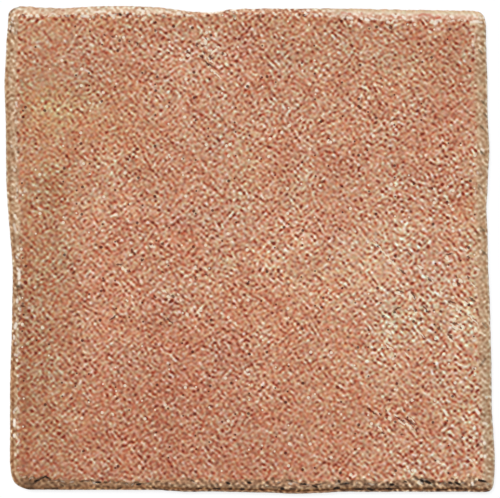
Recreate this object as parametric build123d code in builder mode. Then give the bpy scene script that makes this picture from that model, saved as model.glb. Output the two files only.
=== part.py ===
"""Pressed and fired floor tile with a soft, uneven rolled border.

Millimetres, +Z up. The tile lies on its bed face, the worn face looks up +Z.
The origin is the middle of the outline's box, on the plane that it lies on.
One fired body, so one solid.
"""

from build123d import *
import os

# ---- driving dimensions ---------------------------------------------------
thickness = 9.5            # bed lands to worn face
wall_top = 6.3             # height where the side wall turns into the border
wall_foot = 1.0            # height of the eased arris round the bed
foot_inset = 0.7           # press draft of the side wall
bed_inset = 1.7            # how far the bed's edge lies inside the outline

# the rolled border in section, from the top of the side wall to the crest:
# (share of the border's width, share of its rise)
border_section = (
    (0.00, 0.00),
    (0.05, 0.27),
    (0.17, 0.52),
    (0.38, 0.74),
    (0.66, 0.90),
    (1.00, 1.00),
)

# keying grooves pressed into the bed
groove_pitch = 30.0
groove_count = 10          # each way, so a land lies at the middle
groove_width = 4.0
groove_depth = 0.8
groove_length = 296.0

# ---- outline --------------------------------------------------------------
# Each side is a row of stations: place along the side, distance from the
# middle, and the width of the rolled border there. The sides wander by a few
# millimetres, as a hand-finished tile's do.
bottom_side = (
    (-145.5, -162.9, 7.4), (-126.0, -163.0, 5.9), (-108.3, -163.0, 5.5),
    (-71.1, -163.1, 4.6), (-59.3, -163.3, 5.8), (-42.3, -164.4, 6.2),
    (-34.0, -164.3, 5.9), (3.2, -164.8, 6.2), (16.8, -165.1, 7.6),
    (24.2, -165.5, 8.4), (35.8, -165.65, 6.0), (43.0, -165.3, 5.6),
    (50.0, -165.1, 5.4), (59.5, -164.5, 6.0), (77.5, -164.4, 5.9),
    (90.8, -164.4, 5.5), (103.0, -164.3, 6.0), (114.7, -164.4, 8.4),
    (126.0, -164.4, 6.4), (138.3, -164.4, 5.5), (151.8, -164.4, 7.6),
)
right_side = (
    (-151.6, 166.3, 8.6), (-146.2, 166.6, 8.8), (-136.7, 166.3, 9.0),
    (-128.5, 165.9, 9.0), (-113.9, 164.8, 8.8), (-97.3, 164.4, 8.6),
    (-76.3, 164.2, 9.2), (-63.4, 163.9, 9.2), (-38.6, 163.2, 8.8),
    (-26.7, 162.8, 8.6), (-17.2, 162.3, 8.4), (-0.9, 161.8, 8.4),
    (16.1, 161.4, 8.2), (28.9, 160.8, 7.8), (36.8, 161.4, 8.2),
    (54.1, 162.1, 8.6), (64.2, 162.8, 9.0), (74.4, 162.6, 8.8),
    (95.5, 161.6, 8.4), (112.1, 161.5, 8.4), (138.9, 160.7, 8.2),
    (149.8, 160.6, 8.0),
)
top_side = (
    (149.8, 162.5, 7.2), (130.0, 162.8, 7.1), (112.6, 163.0, 7.0),
    (75.5, 163.8, 6.6), (56.0, 164.0, 5.4), (38.3, 164.0, 4.3),
    (21.5, 163.9, 3.8), (8.0, 163.9, 3.2), (-4.0, 163.8, 2.8),
    (-11.0, 163.5, 2.5), (-17.2, 162.7, 2.3), (-22.5, 161.8, 2.1),
    (-29.0, 161.5, 2.2), (-36.0, 161.8, 2.5), (-45.0, 162.6, 3.3),
    (-53.0, 163.7, 4.5), (-62.0, 164.7, 5.1), (-73.2, 165.3, 5.6),
    (-88.0, 165.7, 5.7), (-102.0, 165.5, 5.8), (-110.3, 165.2, 5.8),
    (-118.0, 164.6, 5.6), (-127.0, 164.2, 5.5), (-137.3, 164.5, 6.0),
    (-147.5, 165.1, 6.3),
)
left_side = (
    (151.8, -164.3, 6.2), (141.6, -165.2, 6.4), (130.1, -165.7, 6.6),
    (114.6, -166.6, 7.2), (98.9, -166.1, 7.0), (77.5, -165.6, 7.0),
    (52.7, -165.4, 7.2), (40.3, -165.1, 7.0), (33.0, -164.6, 6.8),
    (22.2, -163.8, 6.6), (13.3, -163.0, 6.0), (3.2, -162.2, 5.4),
    (-7.0, -161.4, 4.3), (-13.1, -161.1, 4.0), (-18.6, -161.0, 3.9),
    (-34.0, -161.3, 4.3), (-49.8, -161.5, 4.8), (-71.2, -162.2, 5.4),
    (-90.0, -162.7, 5.6), (-108.3, -162.8, 5.8), (-127.0, -162.8, 5.7),
    (-145.5, -162.7, 5.6),
)

# The corners between them, worn to four different roundings.
corner_br = ((156.6, -164.6), (160.0, -164.5), (163.3, -163.7),
             (165.1, -161.2), (165.9, -157.8), (166.1, -154.9))
corner_tr = ((160.5, 153.5), (160.1, 155.9), (159.3, 158.3),
             (157.7, 160.3), (155.5, 161.6), (152.9, 162.3))
corner_tl = ((-150.2, 165.3), (-152.9, 165.5), (-155.7, 165.4),
             (-158.5, 164.8), (-161.3, 163.6), (-163.3, 161.5),
             (-164.0, 158.5), (-164.1, 155.4))
corner_bl = ((-162.5, -148.2), (-162.2, -150.8), (-161.7, -153.4),
             (-160.9, -156.0), (-159.5, -158.3), (-157.4, -160.1),
             (-155.0, -161.3), (-152.4, -162.2), (-149.2, -162.8))


def inset_sides(share, extra):
    """The four sides moved inwards by extra plus a share of the border."""
    bottom = [(a, o + extra + share * w) for a, o, w in bottom_side]
    right = [(o - extra - share * w, a) for a, o, w in right_side]
    top = [(a, o - extra - share * w) for a, o, w in top_side]
    left = [(o + extra + share * w, a) for a, o, w in left_side]
    return bottom, right, top, left


def inset_corner(points, outer_start, outer_end, start, end, level_first):
    """A corner's points, drawn in so that they still meet both sides."""
    if level_first:        # from a level side to an upright one
        cx, cy = outer_start[0], outer_end[1]
        sx = (end[0] - cx) / (outer_end[0] - cx)
        sy = (start[1] - cy) / (outer_start[1] - cy)
    else:
        cx, cy = outer_end[0], outer_start[1]
        sx = (start[0] - cx) / (outer_start[0] - cx)
        sy = (end[1] - cy) / (outer_end[1] - cy)
    middle = [(cx + sx * (x - cx), cy + sy * (y - cy)) for x, y in points]
    return [start, *middle, end]


def ring(share, extra):
    """The eight runs of points of one closed outline, counter-clockwise."""
    ob, orr, ot, ol = inset_sides(0.0, 0.0)
    b, r, t, l = inset_sides(share, extra)
    return (
        b,
        inset_corner(corner_br, ob[-1], orr[0], b[-1], r[0], True),
        r,
        inset_corner(corner_tr, orr[-1], ot[0], r[-1], t[0], False),
        t,
        inset_corner(corner_tl, ot[-1], ol[0], t[-1], l[0], True),
        l,
        inset_corner(corner_bl, ol[-1], ob[0], l[-1], b[0], False),
    )


# (height, share of the border's width, extra inset) from the bed upwards
levels = [(0.0, 0.0, bed_inset), (wall_foot, 0.0, foot_inset)]
levels += [
    (wall_top + rise * (thickness - wall_top), share, 0.0)
    for share, rise in border_section
]

# ---- floor_tile: the whole tile -------------------------------------------
with BuildPart() as floor_tile:
    # side wall, rolled border and worn face, as one loft through the outlines
    for height, share, extra in levels:
        with BuildSketch(Plane.XY.offset(height)):
            with BuildLine():
                for run in ring(share, extra):
                    Spline(*run)
            make_face()
    loft(ruled=True)

    # keying grooves across the bed, both ways
    with BuildSketch(Plane.XY):
        with GridLocations(groove_pitch, 0, groove_count, 1):
            Rectangle(groove_width, groove_length)
        with GridLocations(0, groove_pitch, 1, groove_count):
            Rectangle(groove_length, groove_width)
    extrude(amount=groove_depth, mode=Mode.SUBTRACT)

floor_tile.part.label = "floor_tile"

os.makedirs("parts", exist_ok=True)
export_step(floor_tile.part, "parts/floor_tile.step")
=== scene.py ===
import math

import bpy
import numpy as np
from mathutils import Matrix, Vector


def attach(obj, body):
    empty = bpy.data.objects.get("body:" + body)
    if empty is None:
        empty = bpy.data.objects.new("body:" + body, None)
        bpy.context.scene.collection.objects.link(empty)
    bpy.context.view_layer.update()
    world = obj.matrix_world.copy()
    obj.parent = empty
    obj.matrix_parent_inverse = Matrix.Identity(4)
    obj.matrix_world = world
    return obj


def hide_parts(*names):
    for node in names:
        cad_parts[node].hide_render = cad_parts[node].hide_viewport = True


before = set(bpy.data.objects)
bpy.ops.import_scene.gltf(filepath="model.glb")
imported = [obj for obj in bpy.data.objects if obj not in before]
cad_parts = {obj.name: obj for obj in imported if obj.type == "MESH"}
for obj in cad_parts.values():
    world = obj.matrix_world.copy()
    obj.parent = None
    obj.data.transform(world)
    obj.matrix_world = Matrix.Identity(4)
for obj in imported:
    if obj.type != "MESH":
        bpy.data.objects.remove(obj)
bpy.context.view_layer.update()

MM = 0.001

# ---------------------------------------------------------------------------
# Outline of the tile, in millimetres: the same stations as the solid has.
# (place along the side, distance from the middle, width of the border there)
# ---------------------------------------------------------------------------
THICKNESS = 9.5
WALL_TOP = 6.3
WALL_FOOT = 1.0
FOOT_INSET = 0.7
BED_INSET = 1.7
BORDER_SECTION = ((0.0, 0.0), (0.05, 0.27), (0.17, 0.52), (0.38, 0.74), (0.66, 0.90), (1.0, 1.0))
GROOVE_PITCH = 30.0
GROOVE_COUNT = 10
GROOVE_WIDTH = 4.0
GROOVE_DEPTH = 0.8
GROOVE_LENGTH = 296.0

BOTTOM = (
    (-145.5, -162.9, 7.4), (-126.0, -163.0, 5.9), (-108.3, -163.0, 5.5),
    (-71.1, -163.1, 4.6), (-59.3, -163.3, 5.8), (-42.3, -164.4, 6.2),
    (-34.0, -164.3, 5.9), (3.2, -164.8, 6.2), (16.8, -165.1, 7.6),
    (24.2, -165.5, 8.4), (35.8, -165.65, 6.0), (43.0, -165.3, 5.6),
    (50.0, -165.1, 5.4), (59.5, -164.5, 6.0), (77.5, -164.4, 5.9),
    (90.8, -164.4, 5.5), (103.0, -164.3, 6.0), (114.7, -164.4, 8.4),
    (126.0, -164.4, 6.4), (138.3, -164.4, 5.5), (151.8, -164.4, 7.6),
)
RIGHT = (
    (-151.6, 166.3, 8.6), (-146.2, 166.6, 8.8), (-136.7, 166.3, 9.0),
    (-128.5, 165.9, 9.0), (-113.9, 164.8, 8.8), (-97.3, 164.4, 8.6),
    (-76.3, 164.2, 9.2), (-63.4, 163.9, 9.2), (-38.6, 163.2, 8.8),
    (-26.7, 162.8, 8.6), (-17.2, 162.3, 8.4), (-0.9, 161.8, 8.4),
    (16.1, 161.4, 8.2), (28.9, 160.8, 7.8), (36.8, 161.4, 8.2),
    (54.1, 162.1, 8.6), (64.2, 162.8, 9.0), (74.4, 162.6, 8.8),
    (95.5, 161.6, 8.4), (112.1, 161.5, 8.4), (138.9, 160.7, 8.2),
    (149.8, 160.6, 8.0),
)
TOP = (
    (149.8, 162.5, 7.2), (130.0, 162.8, 7.1), (112.6, 163.0, 7.0),
    (75.5, 163.8, 6.6), (56.0, 164.0, 5.4), (38.3, 164.0, 4.3),
    (21.5, 163.9, 3.8), (8.0, 163.9, 3.2), (-4.0, 163.8, 2.8),
    (-11.0, 163.5, 2.5), (-17.2, 162.7, 2.3), (-22.5, 161.8, 2.1),
    (-29.0, 161.5, 2.2), (-36.0, 161.8, 2.5), (-45.0, 162.6, 3.3),
    (-53.0, 163.7, 4.5), (-62.0, 164.7, 5.1), (-73.2, 165.3, 5.6),
    (-88.0, 165.7, 5.7), (-102.0, 165.5, 5.8), (-110.3, 165.2, 5.8),
    (-118.0, 164.6, 5.6), (-127.0, 164.2, 5.5), (-137.3, 164.5, 6.0),
    (-147.5, 165.1, 6.3),
)
LEFT = (
    (151.8, -164.3, 6.2), (141.6, -165.2, 6.4), (130.1, -165.7, 6.6),
    (114.6, -166.6, 7.2), (98.9, -166.1, 7.0), (77.5, -165.6, 7.0),
    (52.7, -165.4, 7.2), (40.3, -165.1, 7.0), (33.0, -164.6, 6.8),
    (22.2, -163.8, 6.6), (13.3, -163.0, 6.0), (3.2, -162.2, 5.4),
    (-7.0, -161.4, 4.3), (-13.1, -161.1, 4.0), (-18.6, -161.0, 3.9),
    (-34.0, -161.3, 4.3), (-49.8, -161.5, 4.8), (-71.2, -162.2, 5.4),
    (-90.0, -162.7, 5.6), (-108.3, -162.8, 5.8), (-127.0, -162.8, 5.7),
    (-145.5, -162.7, 5.6),
)
CORNER_BR = ((156.6, -164.6), (160.0, -164.5), (163.3, -163.7),
             (165.1, -161.2), (165.9, -157.8), (166.1, -154.9))
CORNER_TR = ((160.5, 153.5), (160.1, 155.9), (159.3, 158.3),
             (157.7, 160.3), (155.5, 161.6), (152.9, 162.3))
CORNER_TL = ((-150.2, 165.3), (-152.9, 165.5), (-155.7, 165.4),
             (-158.5, 164.8), (-161.3, 163.6), (-163.3, 161.5),
             (-164.0, 158.5), (-164.1, 155.4))
CORNER_BL = ((-162.5, -148.2), (-162.2, -150.8), (-161.7, -153.4),
             (-160.9, -156.0), (-159.5, -158.3), (-157.4, -160.1),
             (-155.0, -161.3), (-152.4, -162.2), (-149.2, -162.8))

GRID = 212              # cells along each side of the worn face
AROUND = GRID * 2       # fine steps along each side of the border


# ---------------------------------------------------------------------------
# Small numerical helpers
# ---------------------------------------------------------------------------
def smooth(x, lo, hi):
    t = np.clip((np.asarray(x, float) - lo) / (hi - lo), 0.0, 1.0)
    return t * t * (3.0 - 2.0 * t)


def gradient_noise(x, y, seed):
    """Plain lattice gradient noise, about -0.7 to 0.7, one cell per unit."""
    rs = np.random.RandomState(seed)
    table = rs.permutation(256)
    angle = rs.uniform(0.0, 2.0 * math.pi, 256)
    gx, gy = np.cos(angle), np.sin(angle)
    x, y = np.broadcast_arrays(np.asarray(x, float), np.asarray(y, float))
    xi, yi = np.floor(x).astype(int), np.floor(y).astype(int)
    xf, yf = x - xi, y - yi
    u = xf * xf * xf * (xf * (xf * 6 - 15) + 10)
    v = yf * yf * yf * (yf * (yf * 6 - 15) + 10)

    def corner(dx, dy):
        h = table[(table[(xi + dx) & 255] + yi + dy) & 255]
        return gx[h] * (xf - dx) + gy[h] * (yf - dy)

    a = corner(0, 0) + u * (corner(1, 0) - corner(0, 0))
    b = corner(0, 1) + u * (corner(1, 1) - corner(0, 1))
    return a + v * (b - a)


def worm_noise(x, y, across, along, seed):
    """Noise drawn out along one diagonal here and the other one there."""
    p, q = (x + y) / math.sqrt(2.0), (x - y) / math.sqrt(2.0)
    a = gradient_noise(p / along, q / across, seed)
    b = gradient_noise(p / across, q / along, seed + 1)
    m = smooth(gradient_noise(x / 9.0, y / 9.0, seed + 2), -0.08, 0.08)
    return (a * (1 - m) + b * m) / 0.25


def closed_spline(points, t, at):
    """Periodic cubic through points at parameters t (one more than points)."""
    n = len(points)
    h = np.diff(t)
    m = np.zeros((n, n))
    rhs = np.zeros((n, points.shape[1]))
    for i in range(n):
        a, b = h[i - 1], h[i]
        m[i, i - 1] += a
        m[i, i] += 2 * (a + b)
        m[i, (i + 1) % n] += b
        rhs[i] = 6 * ((points[(i + 1) % n] - points[i]) / b - (points[i] - points[i - 1]) / a)
    second = np.linalg.solve(m, rhs)
    at = np.mod(at, t[-1])
    k = np.clip(np.searchsorted(t, at, side="right") - 1, 0, n - 1)
    k2 = (k + 1) % n
    hh = h[k][:, None]
    a = (t[k + 1] - at)[:, None] / hh
    b = 1.0 - a
    return (
        a * points[k] + b * points[k2]
        + ((a**3 - a) * second[k] + (b**3 - b) * second[k2]) * hh**2 / 6.0
    )


# ---------------------------------------------------------------------------
# The outline and the crest line, sampled all round
# ---------------------------------------------------------------------------
def station_loop():
    """Outline points and crest points, counter-clockwise from bottom left."""
    b = [(a, o) for a, o, w in BOTTOM], [(a, o + w) for a, o, w in BOTTOM]
    r = [(o, a) for a, o, w in RIGHT], [(o - w, a) for a, o, w in RIGHT]
    t = [(a, o) for a, o, w in TOP], [(a, o - w) for a, o, w in TOP]
    l = [(o, a) for a, o, w in LEFT], [(o + w, a) for a, o, w in LEFT]

    def corner(points, first, second, level_first):
        start, end = first[0][-1], second[0][0]
        inner_start, inner_end = first[1][-1], second[1][0]
        if level_first:
            cx, cy = start[0], end[1]
            sx = (inner_end[0] - cx) / (end[0] - cx)
            sy = (inner_start[1] - cy) / (start[1] - cy)
        else:
            cx, cy = end[0], start[1]
            sx = (inner_start[0] - cx) / (start[0] - cx)
            sy = (inner_end[1] - cy) / (end[1] - cy)
        return [(cx + sx * (x - cx), cy + sy * (y - cy)) for x, y in points]

    outer, inner = [], []
    for side, points, after, level_first in (
        (b, CORNER_BR, r, True), (r, CORNER_TR, t, False),
        (t, CORNER_TL, l, True), (l, CORNER_BL, b, False),
    ):
        outer += side[0] + list(points)
        inner += side[1] + corner(points, side, after, level_first)
    return np.array(outer), np.array(inner)


outer_st, inner_st = station_loop()
t_st = np.concatenate([[0.0], np.cumsum(np.hypot(*(np.roll(outer_st, -1, 0) - outer_st).T))])

fine_t = np.linspace(0.0, t_st[-1], 40001)[:-1]
fine = closed_spline(outer_st, t_st, fine_t)
fine_s = np.concatenate([[0.0], np.cumsum(np.hypot(*np.diff(fine, axis=0).T))])


def corner_at(sx, sy):
    return int(np.argmax(sx * fine[:, 0] + sy * fine[:, 1]))


c_bl, c_br, c_tr, c_tl = corner_at(-1, -1), corner_at(1, -1), corner_at(1, 1), corner_at(-1, 1)
length = fine_s[-1] + np.hypot(*(fine[0] - fine[-1]))
marks = np.array([fine_s[c_bl], fine_s[c_br], fine_s[c_tr], fine_s[c_tl]])
if c_bl > c_br:
    marks[1:] += length
marks = np.append(marks, marks[0] + length)
s_list = np.concatenate(
    [np.linspace(marks[i], marks[i + 1], AROUND + 1)[:-1] for i in range(4)]
)
M = len(s_list)
full_s = np.concatenate([fine_s, [length]])
full_t = np.concatenate([fine_t, [t_st[-1]]])
t_list = np.interp(np.mod(s_list, length), full_s, full_t)
O = closed_spline(outer_st, t_st, t_list)
C = closed_spline(inner_st, t_st, t_list)

along = (np.roll(O, -1, 0) - np.roll(O, 1, 0))
along /= np.hypot(*along.T)[:, None]
outward = np.stack([along[:, 1], -along[:, 0]], 1)

# how much each point belongs to each side, softly round the corners
s_up = smooth(outward[:, 1], 0.35, 0.9)
s_dn = smooth(-outward[:, 1], 0.35, 0.9)
s_lt = smooth(-outward[:, 0], 0.35, 0.9)
s_rt = smooth(outward[:, 0], 0.35, 0.9)

# One unit of the plan that features are placed on is 0.6788 mm: x runs right
# and y runs down from the top left corner of the view.
PLAN = 0.6788


def plan(px, py):
    return (px - 249.3) * PLAN, (249.65 - py) * PLAN


px_i = O[:, 0] / PLAN + 249.3
py_i = 249.65 - O[:, 1] / PLAN


def stretches(at, table, soft=1.5):
    """Strengths given for stretches (from, to, strength) along a side."""
    out = np.zeros_like(at)
    for lo, hi, k in table:
        out = np.maximum(out, k * smooth(at, lo - soft, lo + soft) * smooth(at, hi + soft, hi - soft))
    return out


def course(at, table):
    """A value that runs smoothly through (place, value) pairs."""
    xs, vs = zip(*table)
    return np.interp(at, xs, vs)


def round_the_edge(wave, seed):
    """Noise along the perimeter, which meets itself where it closes."""
    n = max(8, int(round(length / wave)))
    a = 2 * math.pi * np.arange(M) / M
    radius = n / (2 * math.pi)
    return gradient_noise(radius * np.cos(a) + 37.1, radius * np.sin(a) + 11.7, seed) / 0.25


# fine unevenness of the outline and of the crest line
jag = 0.055 * round_the_edge(5.0, 11) + 0.045 * round_the_edge(2.6, 12)
jag *= 1.0 + 0.9 * s_up - 0.3 * s_dn
O = O + outward * np.clip(jag, -0.35, 0.35)[:, None]
O[:, 0] = np.clip(O[:, 0], -166.58, 166.56)
O[:, 1] = np.clip(O[:, 1], -165.68, 165.67)

width = np.hypot(*(O - C).T)
inward = (C - O) / width[:, None]
ragged = (
    0.30 * round_the_edge(13.0, 21) + 0.30 * round_the_edge(6.0, 22) + 0.22 * round_the_edge(3.0, 23)
)
ragged *= 0.8 + 0.5 * s_dn + 0.3 * s_up
ragged = np.clip(ragged, -0.3 * width, 0.3 * width)
width = width + ragged

sides = np.stack([s_up, s_rt, s_lt, s_dn]) + 1e-3
sides /= sides.sum(0)


def by_side(up, right, left, low):
    return sides[0] * up + sides[1] * right + sides[2] * left + sides[3] * low


# where the look of the border gives way to the face, past the crest line, and
# how softly it does
reach = by_side(
    course(px_i, ((30, -0.3), (170, -0.1), (205, 0.5), (300, 0.6), (345, 0.5), (480, 0.6))),
    0.3,
    course(py_i, ((30, 1.8), (290, 1.9), (350, -0.1), (470, -0.4))),
    course(px_i, ((30, 1.6), (150, 1.9), (200, 3.0), (300, 2.9), (345, 2.5), (490, 2.5)))
    + 2.4 * np.exp(-((px_i - 45.6) / 4.2) ** 2) + 2.2 * np.exp(-((px_i - 186.5) / 3.6) ** 2),
)
softness = by_side(course(px_i, ((30, 0.5), (170, 0.6), (330, 1.5), (480, 2.2))), 2.4, 1.4, 0.35)
reach = reach + by_side(0.28, 0.3, 0.35, 0.22) * (round_the_edge(5.0, 95) + round_the_edge(2.6, 96))

# ---------------------------------------------------------------------------
# Single features of the border, placed on the plan:
# (from x, from y, to x, to y, width, strength)
# ---------------------------------------------------------------------------
# the broken ledge and the crease of the lower side: dents in the surface, painted dark as painted shade where the
# ledge's steps and cracks lie in shade
SHADED_LEDGE_AND_CRACKS = (
    (35, 480.6, 38, 480.1, 1.9, 0.9), (38, 480.1, 42, 477.3, 1.9, 0.9), (42, 477.3, 45.6, 475.9, 2.0, 0.95),
    (45.6, 475.9, 48.4, 477.3, 2.0, 0.95), (48.4, 477.3, 50.5, 479.2, 1.8, 0.8),
    (25, 483.4, 33, 483.2, 2.4, 0.55), (33, 483.2, 37.5, 480.5, 1.8, 0.75), (60, 483.4, 62.8, 485.6, 2.0, 0.8),
    (27, 488, 33, 488, 2.0, 0.9), (44, 488.2, 49.5, 488.2, 1.8, 0.75), (51.7, 488.2, 57.3, 488.2, 2.0, 0.9),
    (75, 485, 79.5, 486.5, 1.8, 0.5), (64.5, 483.8, 66, 486, 1.5, 0.4),
    (81.7, 480.4, 88.4, 480, 1.6, 0.7), (91.7, 479.5, 94, 480, 1.8, 0.85), (96.1, 481.7, 100.1, 481.5, 2.2, 0.9),
    (104.5, 481.2, 106.7, 482.3, 1.6, 0.75), (121, 482.3, 133, 482.8, 1.8, 0.45), (136.7, 484, 140.1, 483.4, 2.0, 0.9),
    (140, 483.5, 147, 482.5, 1.4, 0.4), (117.3, 488.2, 120.6, 487.5, 2.0, 0.95), (103, 485.6, 108.9, 486.7, 1.8, 0.5),
    (108.9, 486.7, 117.3, 488.2, 1.5, 0.35), (155, 481.6, 159.5, 480.6, 1.7, 0.65), (152.5, 487.4, 157.3, 488.2, 1.9, 0.8),
    (159.5, 488.6, 164.5, 489, 1.5, 0.65), (141, 487.8, 146, 488.4, 1.5, 0.45), (191.2, 479.5, 193.6, 480.8, 1.9, 0.75),
    (208.4, 479.8, 210, 480, 1.9, 0.75), (226.2, 481.7, 228.9, 483, 2.2, 1.0), (247.8, 482, 249.8, 482.2, 2.1, 1.0),
    (266.2, 486.2, 268, 486, 1.9, 0.75), (272.8, 486.2, 275.6, 486.8, 1.9, 0.75), (286.7, 479.5, 291.2, 480.3, 2.0, 0.8),
    (291.2, 480.3, 296, 481.8, 1.5, 0.5), (300.5, 483.3, 305, 483.6, 2.2, 1.0), (312.3, 485, 316.2, 486.7, 2.2, 0.85),
    (316.5, 484.5, 320, 483.4, 2.0, 0.8), (320, 483.4, 327, 482, 1.4, 0.5),
    (186, 489.3, 188, 489.3, 1.8, 0.6), (196, 488.6, 198, 488.6, 1.8, 0.7), (213.4, 488.2, 219, 488.6, 2.0, 0.95),
    (226, 489.2, 228, 489.2, 1.7, 0.6), (235, 488.7, 237, 488.7, 1.7, 0.6), (240.8, 489, 243.4, 489, 2.1, 0.95),
    (249, 489.4, 250, 489.4, 1.8, 0.7), (259.5, 488.8, 261.5, 488.8, 2.0, 0.9), (275, 489.4, 277, 489.4, 1.7, 0.6),
    (281.3, 488.2, 282.1, 488.3, 3.0, 1.0), (290, 488.4, 295, 488.8, 2.0, 0.9), (297, 491, 298.5, 491, 1.7, 0.8),
    (305.5, 489.3, 307, 489.3, 1.8, 0.7), (313.5, 489.8, 317.5, 489.9, 1.9, 0.85), (327, 489.9, 329, 489.9, 1.7, 0.6),
    (333.4, 488.9, 338.4, 488.2, 2.2, 1.0), (343.3, 490, 344.5, 490, 1.8, 0.7), (355, 489, 362.8, 489.3, 2.2, 0.9),
    (367.3, 488.6, 371.7, 490.1, 2.6, 1.0), (385, 488.2, 391.7, 489.5, 2.0, 0.9), (400, 489.3, 401.5, 489.3, 1.8, 0.65),
    (405.5, 488.9, 411, 488.6, 1.7, 0.65), (422.5, 490, 424.3, 490, 2.0, 0.85), (437.3, 489.5, 446.2, 489.5, 2.0, 0.85),
    (449.5, 488.2, 452, 489, 1.8, 0.6), (460.6, 488.6, 467.3, 489, 1.8, 0.75), (474, 486.2, 476, 486.2, 2.0, 0.6),
    (478, 487.3, 480, 487.5, 1.8, 0.6), (340, 483.9, 345.1, 483.4, 2.0, 0.8), (345, 483.4, 352, 483.8, 1.5, 0.4),
    (363.9, 483.9, 365.5, 484.2, 2.0, 0.7), (390, 483.7, 392.8, 483.9, 2.2, 1.0), (395, 485.6, 397.3, 486.2, 2.0, 0.8),
    (420.9, 480, 422.5, 480.7, 2.4, 1.0), (425.6, 481.2, 429.5, 482.8, 2.4, 1.0), (429.5, 482.8, 434.5, 486.5, 1.7, 0.55),
    (448.4, 481.6, 449.7, 482.2, 2.2, 0.85), (454, 481.5, 459, 484, 2.1, 0.9), (459, 484, 466, 488, 1.6, 0.5),
    (478.4, 479.6, 484.5, 480.8, 2.4, 1.0), (484.5, 480.8, 489.5, 484.5, 1.6, 0.5),
)
# dark pits and short dark dashes on the other sides
PITS = (
    (8.4, 14.8, 12.6, 10.2, 2.4, 0.5), (12.6, 10.2, 19.2, 6.7, 1.9, 0.45), (11.2, 25, 11.5, 26.5, 2.2, 0.6),
    (10.1, 21.8, 11.5, 23.4, 1.9, 0.5), (13.2, 25.4, 13.4, 26.2, 1.9, 0.5), (10.5, 31.2, 11, 32.6, 1.9, 0.5), (14.4, 33, 14.6, 34, 2.0, 0.5),
    (18.4, 151.5, 18.4, 152.3, 2.3, 0.85), (21.7, 106.5, 21.8, 107, 2.3, 0.6), (20.6, 80, 20.7, 80.5, 2.3, 0.5),
    (17.3, 286.2, 22.3, 286.2, 2.4, 0.95), (20.6, 294.2, 20.8, 295, 2.6, 0.85), (22.6, 303.6, 22.8, 304.4, 2.6, 0.9),
    (20, 307.5, 20.2, 308.2, 1.9, 0.7), (25, 309.6, 25.2, 310.2, 2.4, 0.6), (17.8, 192.4, 18, 193.2, 2.2, 0.65),
    (21.2, 240.8, 21.4, 241.6, 2.4, 0.7), (13.9, 237, 14, 239, 2.4, 0.4), (22.8, 274.2, 22.9, 274.9, 2.4, 0.6),
    (18.4, 388, 18.5, 388.8, 2.2, 0.75), (19.5, 419.6, 19.6, 420.3, 2.0, 0.65), (23.4, 465.2, 23.5, 466, 2.2, 0.6),
    (19.7, 433, 19.8, 433.7, 2.2, 0.5), (11.5, 468, 14, 477, 2.2, 0.35), (14, 477, 22, 484, 2.0, 0.3),
    (62.5, 10.4, 63.2, 10.4, 2.0, 0.3), (86.3, 11.7, 87.2, 11.7, 2.0, 0.35), (120, 14.3, 120.3, 14.8, 2.7, 0.9),
    (128, 14.5, 128.8, 14.5, 2.6, 0.7), (141.3, 8.4, 142.2, 8.6, 2.2, 0.5), (101.2, 17.5, 101.3, 18.1, 2.7, 0.8),
    (94.2, 17.3, 94.8, 17.3, 2.3, 0.7), (67.5, 16.2, 68.2, 16.2, 2.2, 0.55), (106.4, 16, 107, 16.5, 2.2, 0.6),
    (156, 14.7, 156.4, 15.3, 2.3, 0.7), (163, 17.6, 164, 17, 2.8, 0.8), (105.2, 8.4, 106, 8.4, 2.0, 0.25),
    (166, 9.7, 166.5, 10.2, 2.0, 0.4), (226.5, 10.9, 228.4, 10.3, 2.4, 0.5), (256.5, 8.8, 258.2, 9.5, 2.3, 0.5),
    (233.4, 16, 233.6, 16.4, 2.8, 0.85), (259.5, 16.5, 259.6, 17, 2.8, 0.85), (206.7, 16, 206.8, 16.5, 2.4, 0.55),
    (191.2, 17, 191.3, 17.6, 2.2, 0.5), (279, 11.2, 280, 11.2, 2.2, 0.45), (295, 11.7, 296.3, 11.8, 2.6, 0.5),
    (275, 17.6, 276.4, 18, 2.8, 0.5),
    (473.4, 47.5, 473.6, 48.2, 2.2, 0.7), (484.6, 115.2, 484.7, 116, 2.6, 0.5), (481.8, 127.4, 481.9, 128.2, 2.4, 0.55),
    (484.6, 99.5, 482.4, 102.8, 2.2, 0.45), (480.7, 152.4, 480.8, 153.2, 2.4, 0.7), (480.2, 51.8, 480.3, 52.6, 2.2, 0.4),
    (480.2, 174, 480.3, 175, 2.4, 0.5), (478, 187.4, 478.1, 188.2, 2.4, 0.55), (480.2, 231, 483.5, 229.5, 2.1, 0.6),
    (484, 252.3, 482.4, 254.5, 2.4, 0.6), (483.5, 277, 483.6, 277.8, 2.4, 0.35), (481.8, 206.6, 481.9, 207.4, 2.2, 0.4),
    (476.3, 308.6, 476.4, 309.3, 2.4, 0.5), (484.6, 358.4, 479, 365.6, 2.3, 0.65), (485.7, 396.3, 485.8, 397, 2.4, 0.35),
    (484, 446.8, 484.1, 447.8, 2.8, 0.6), (480.2, 414.6, 480.3, 415.3, 2.4, 0.35), (483.5, 472, 483.6, 472.7, 2.0, 0.5),
    (478, 443.7, 478.1, 444.4, 2.3, 0.6), (478, 488.2, 479, 488.4, 2.0, 0.6), (486.8, 483.4, 489.6, 487.3, 1.8, 0.45),
    (486.5, 18, 486.3, 21, 1.8, 0.35), (482, 10.5, 485, 14, 1.8, 0.25),
)
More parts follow.
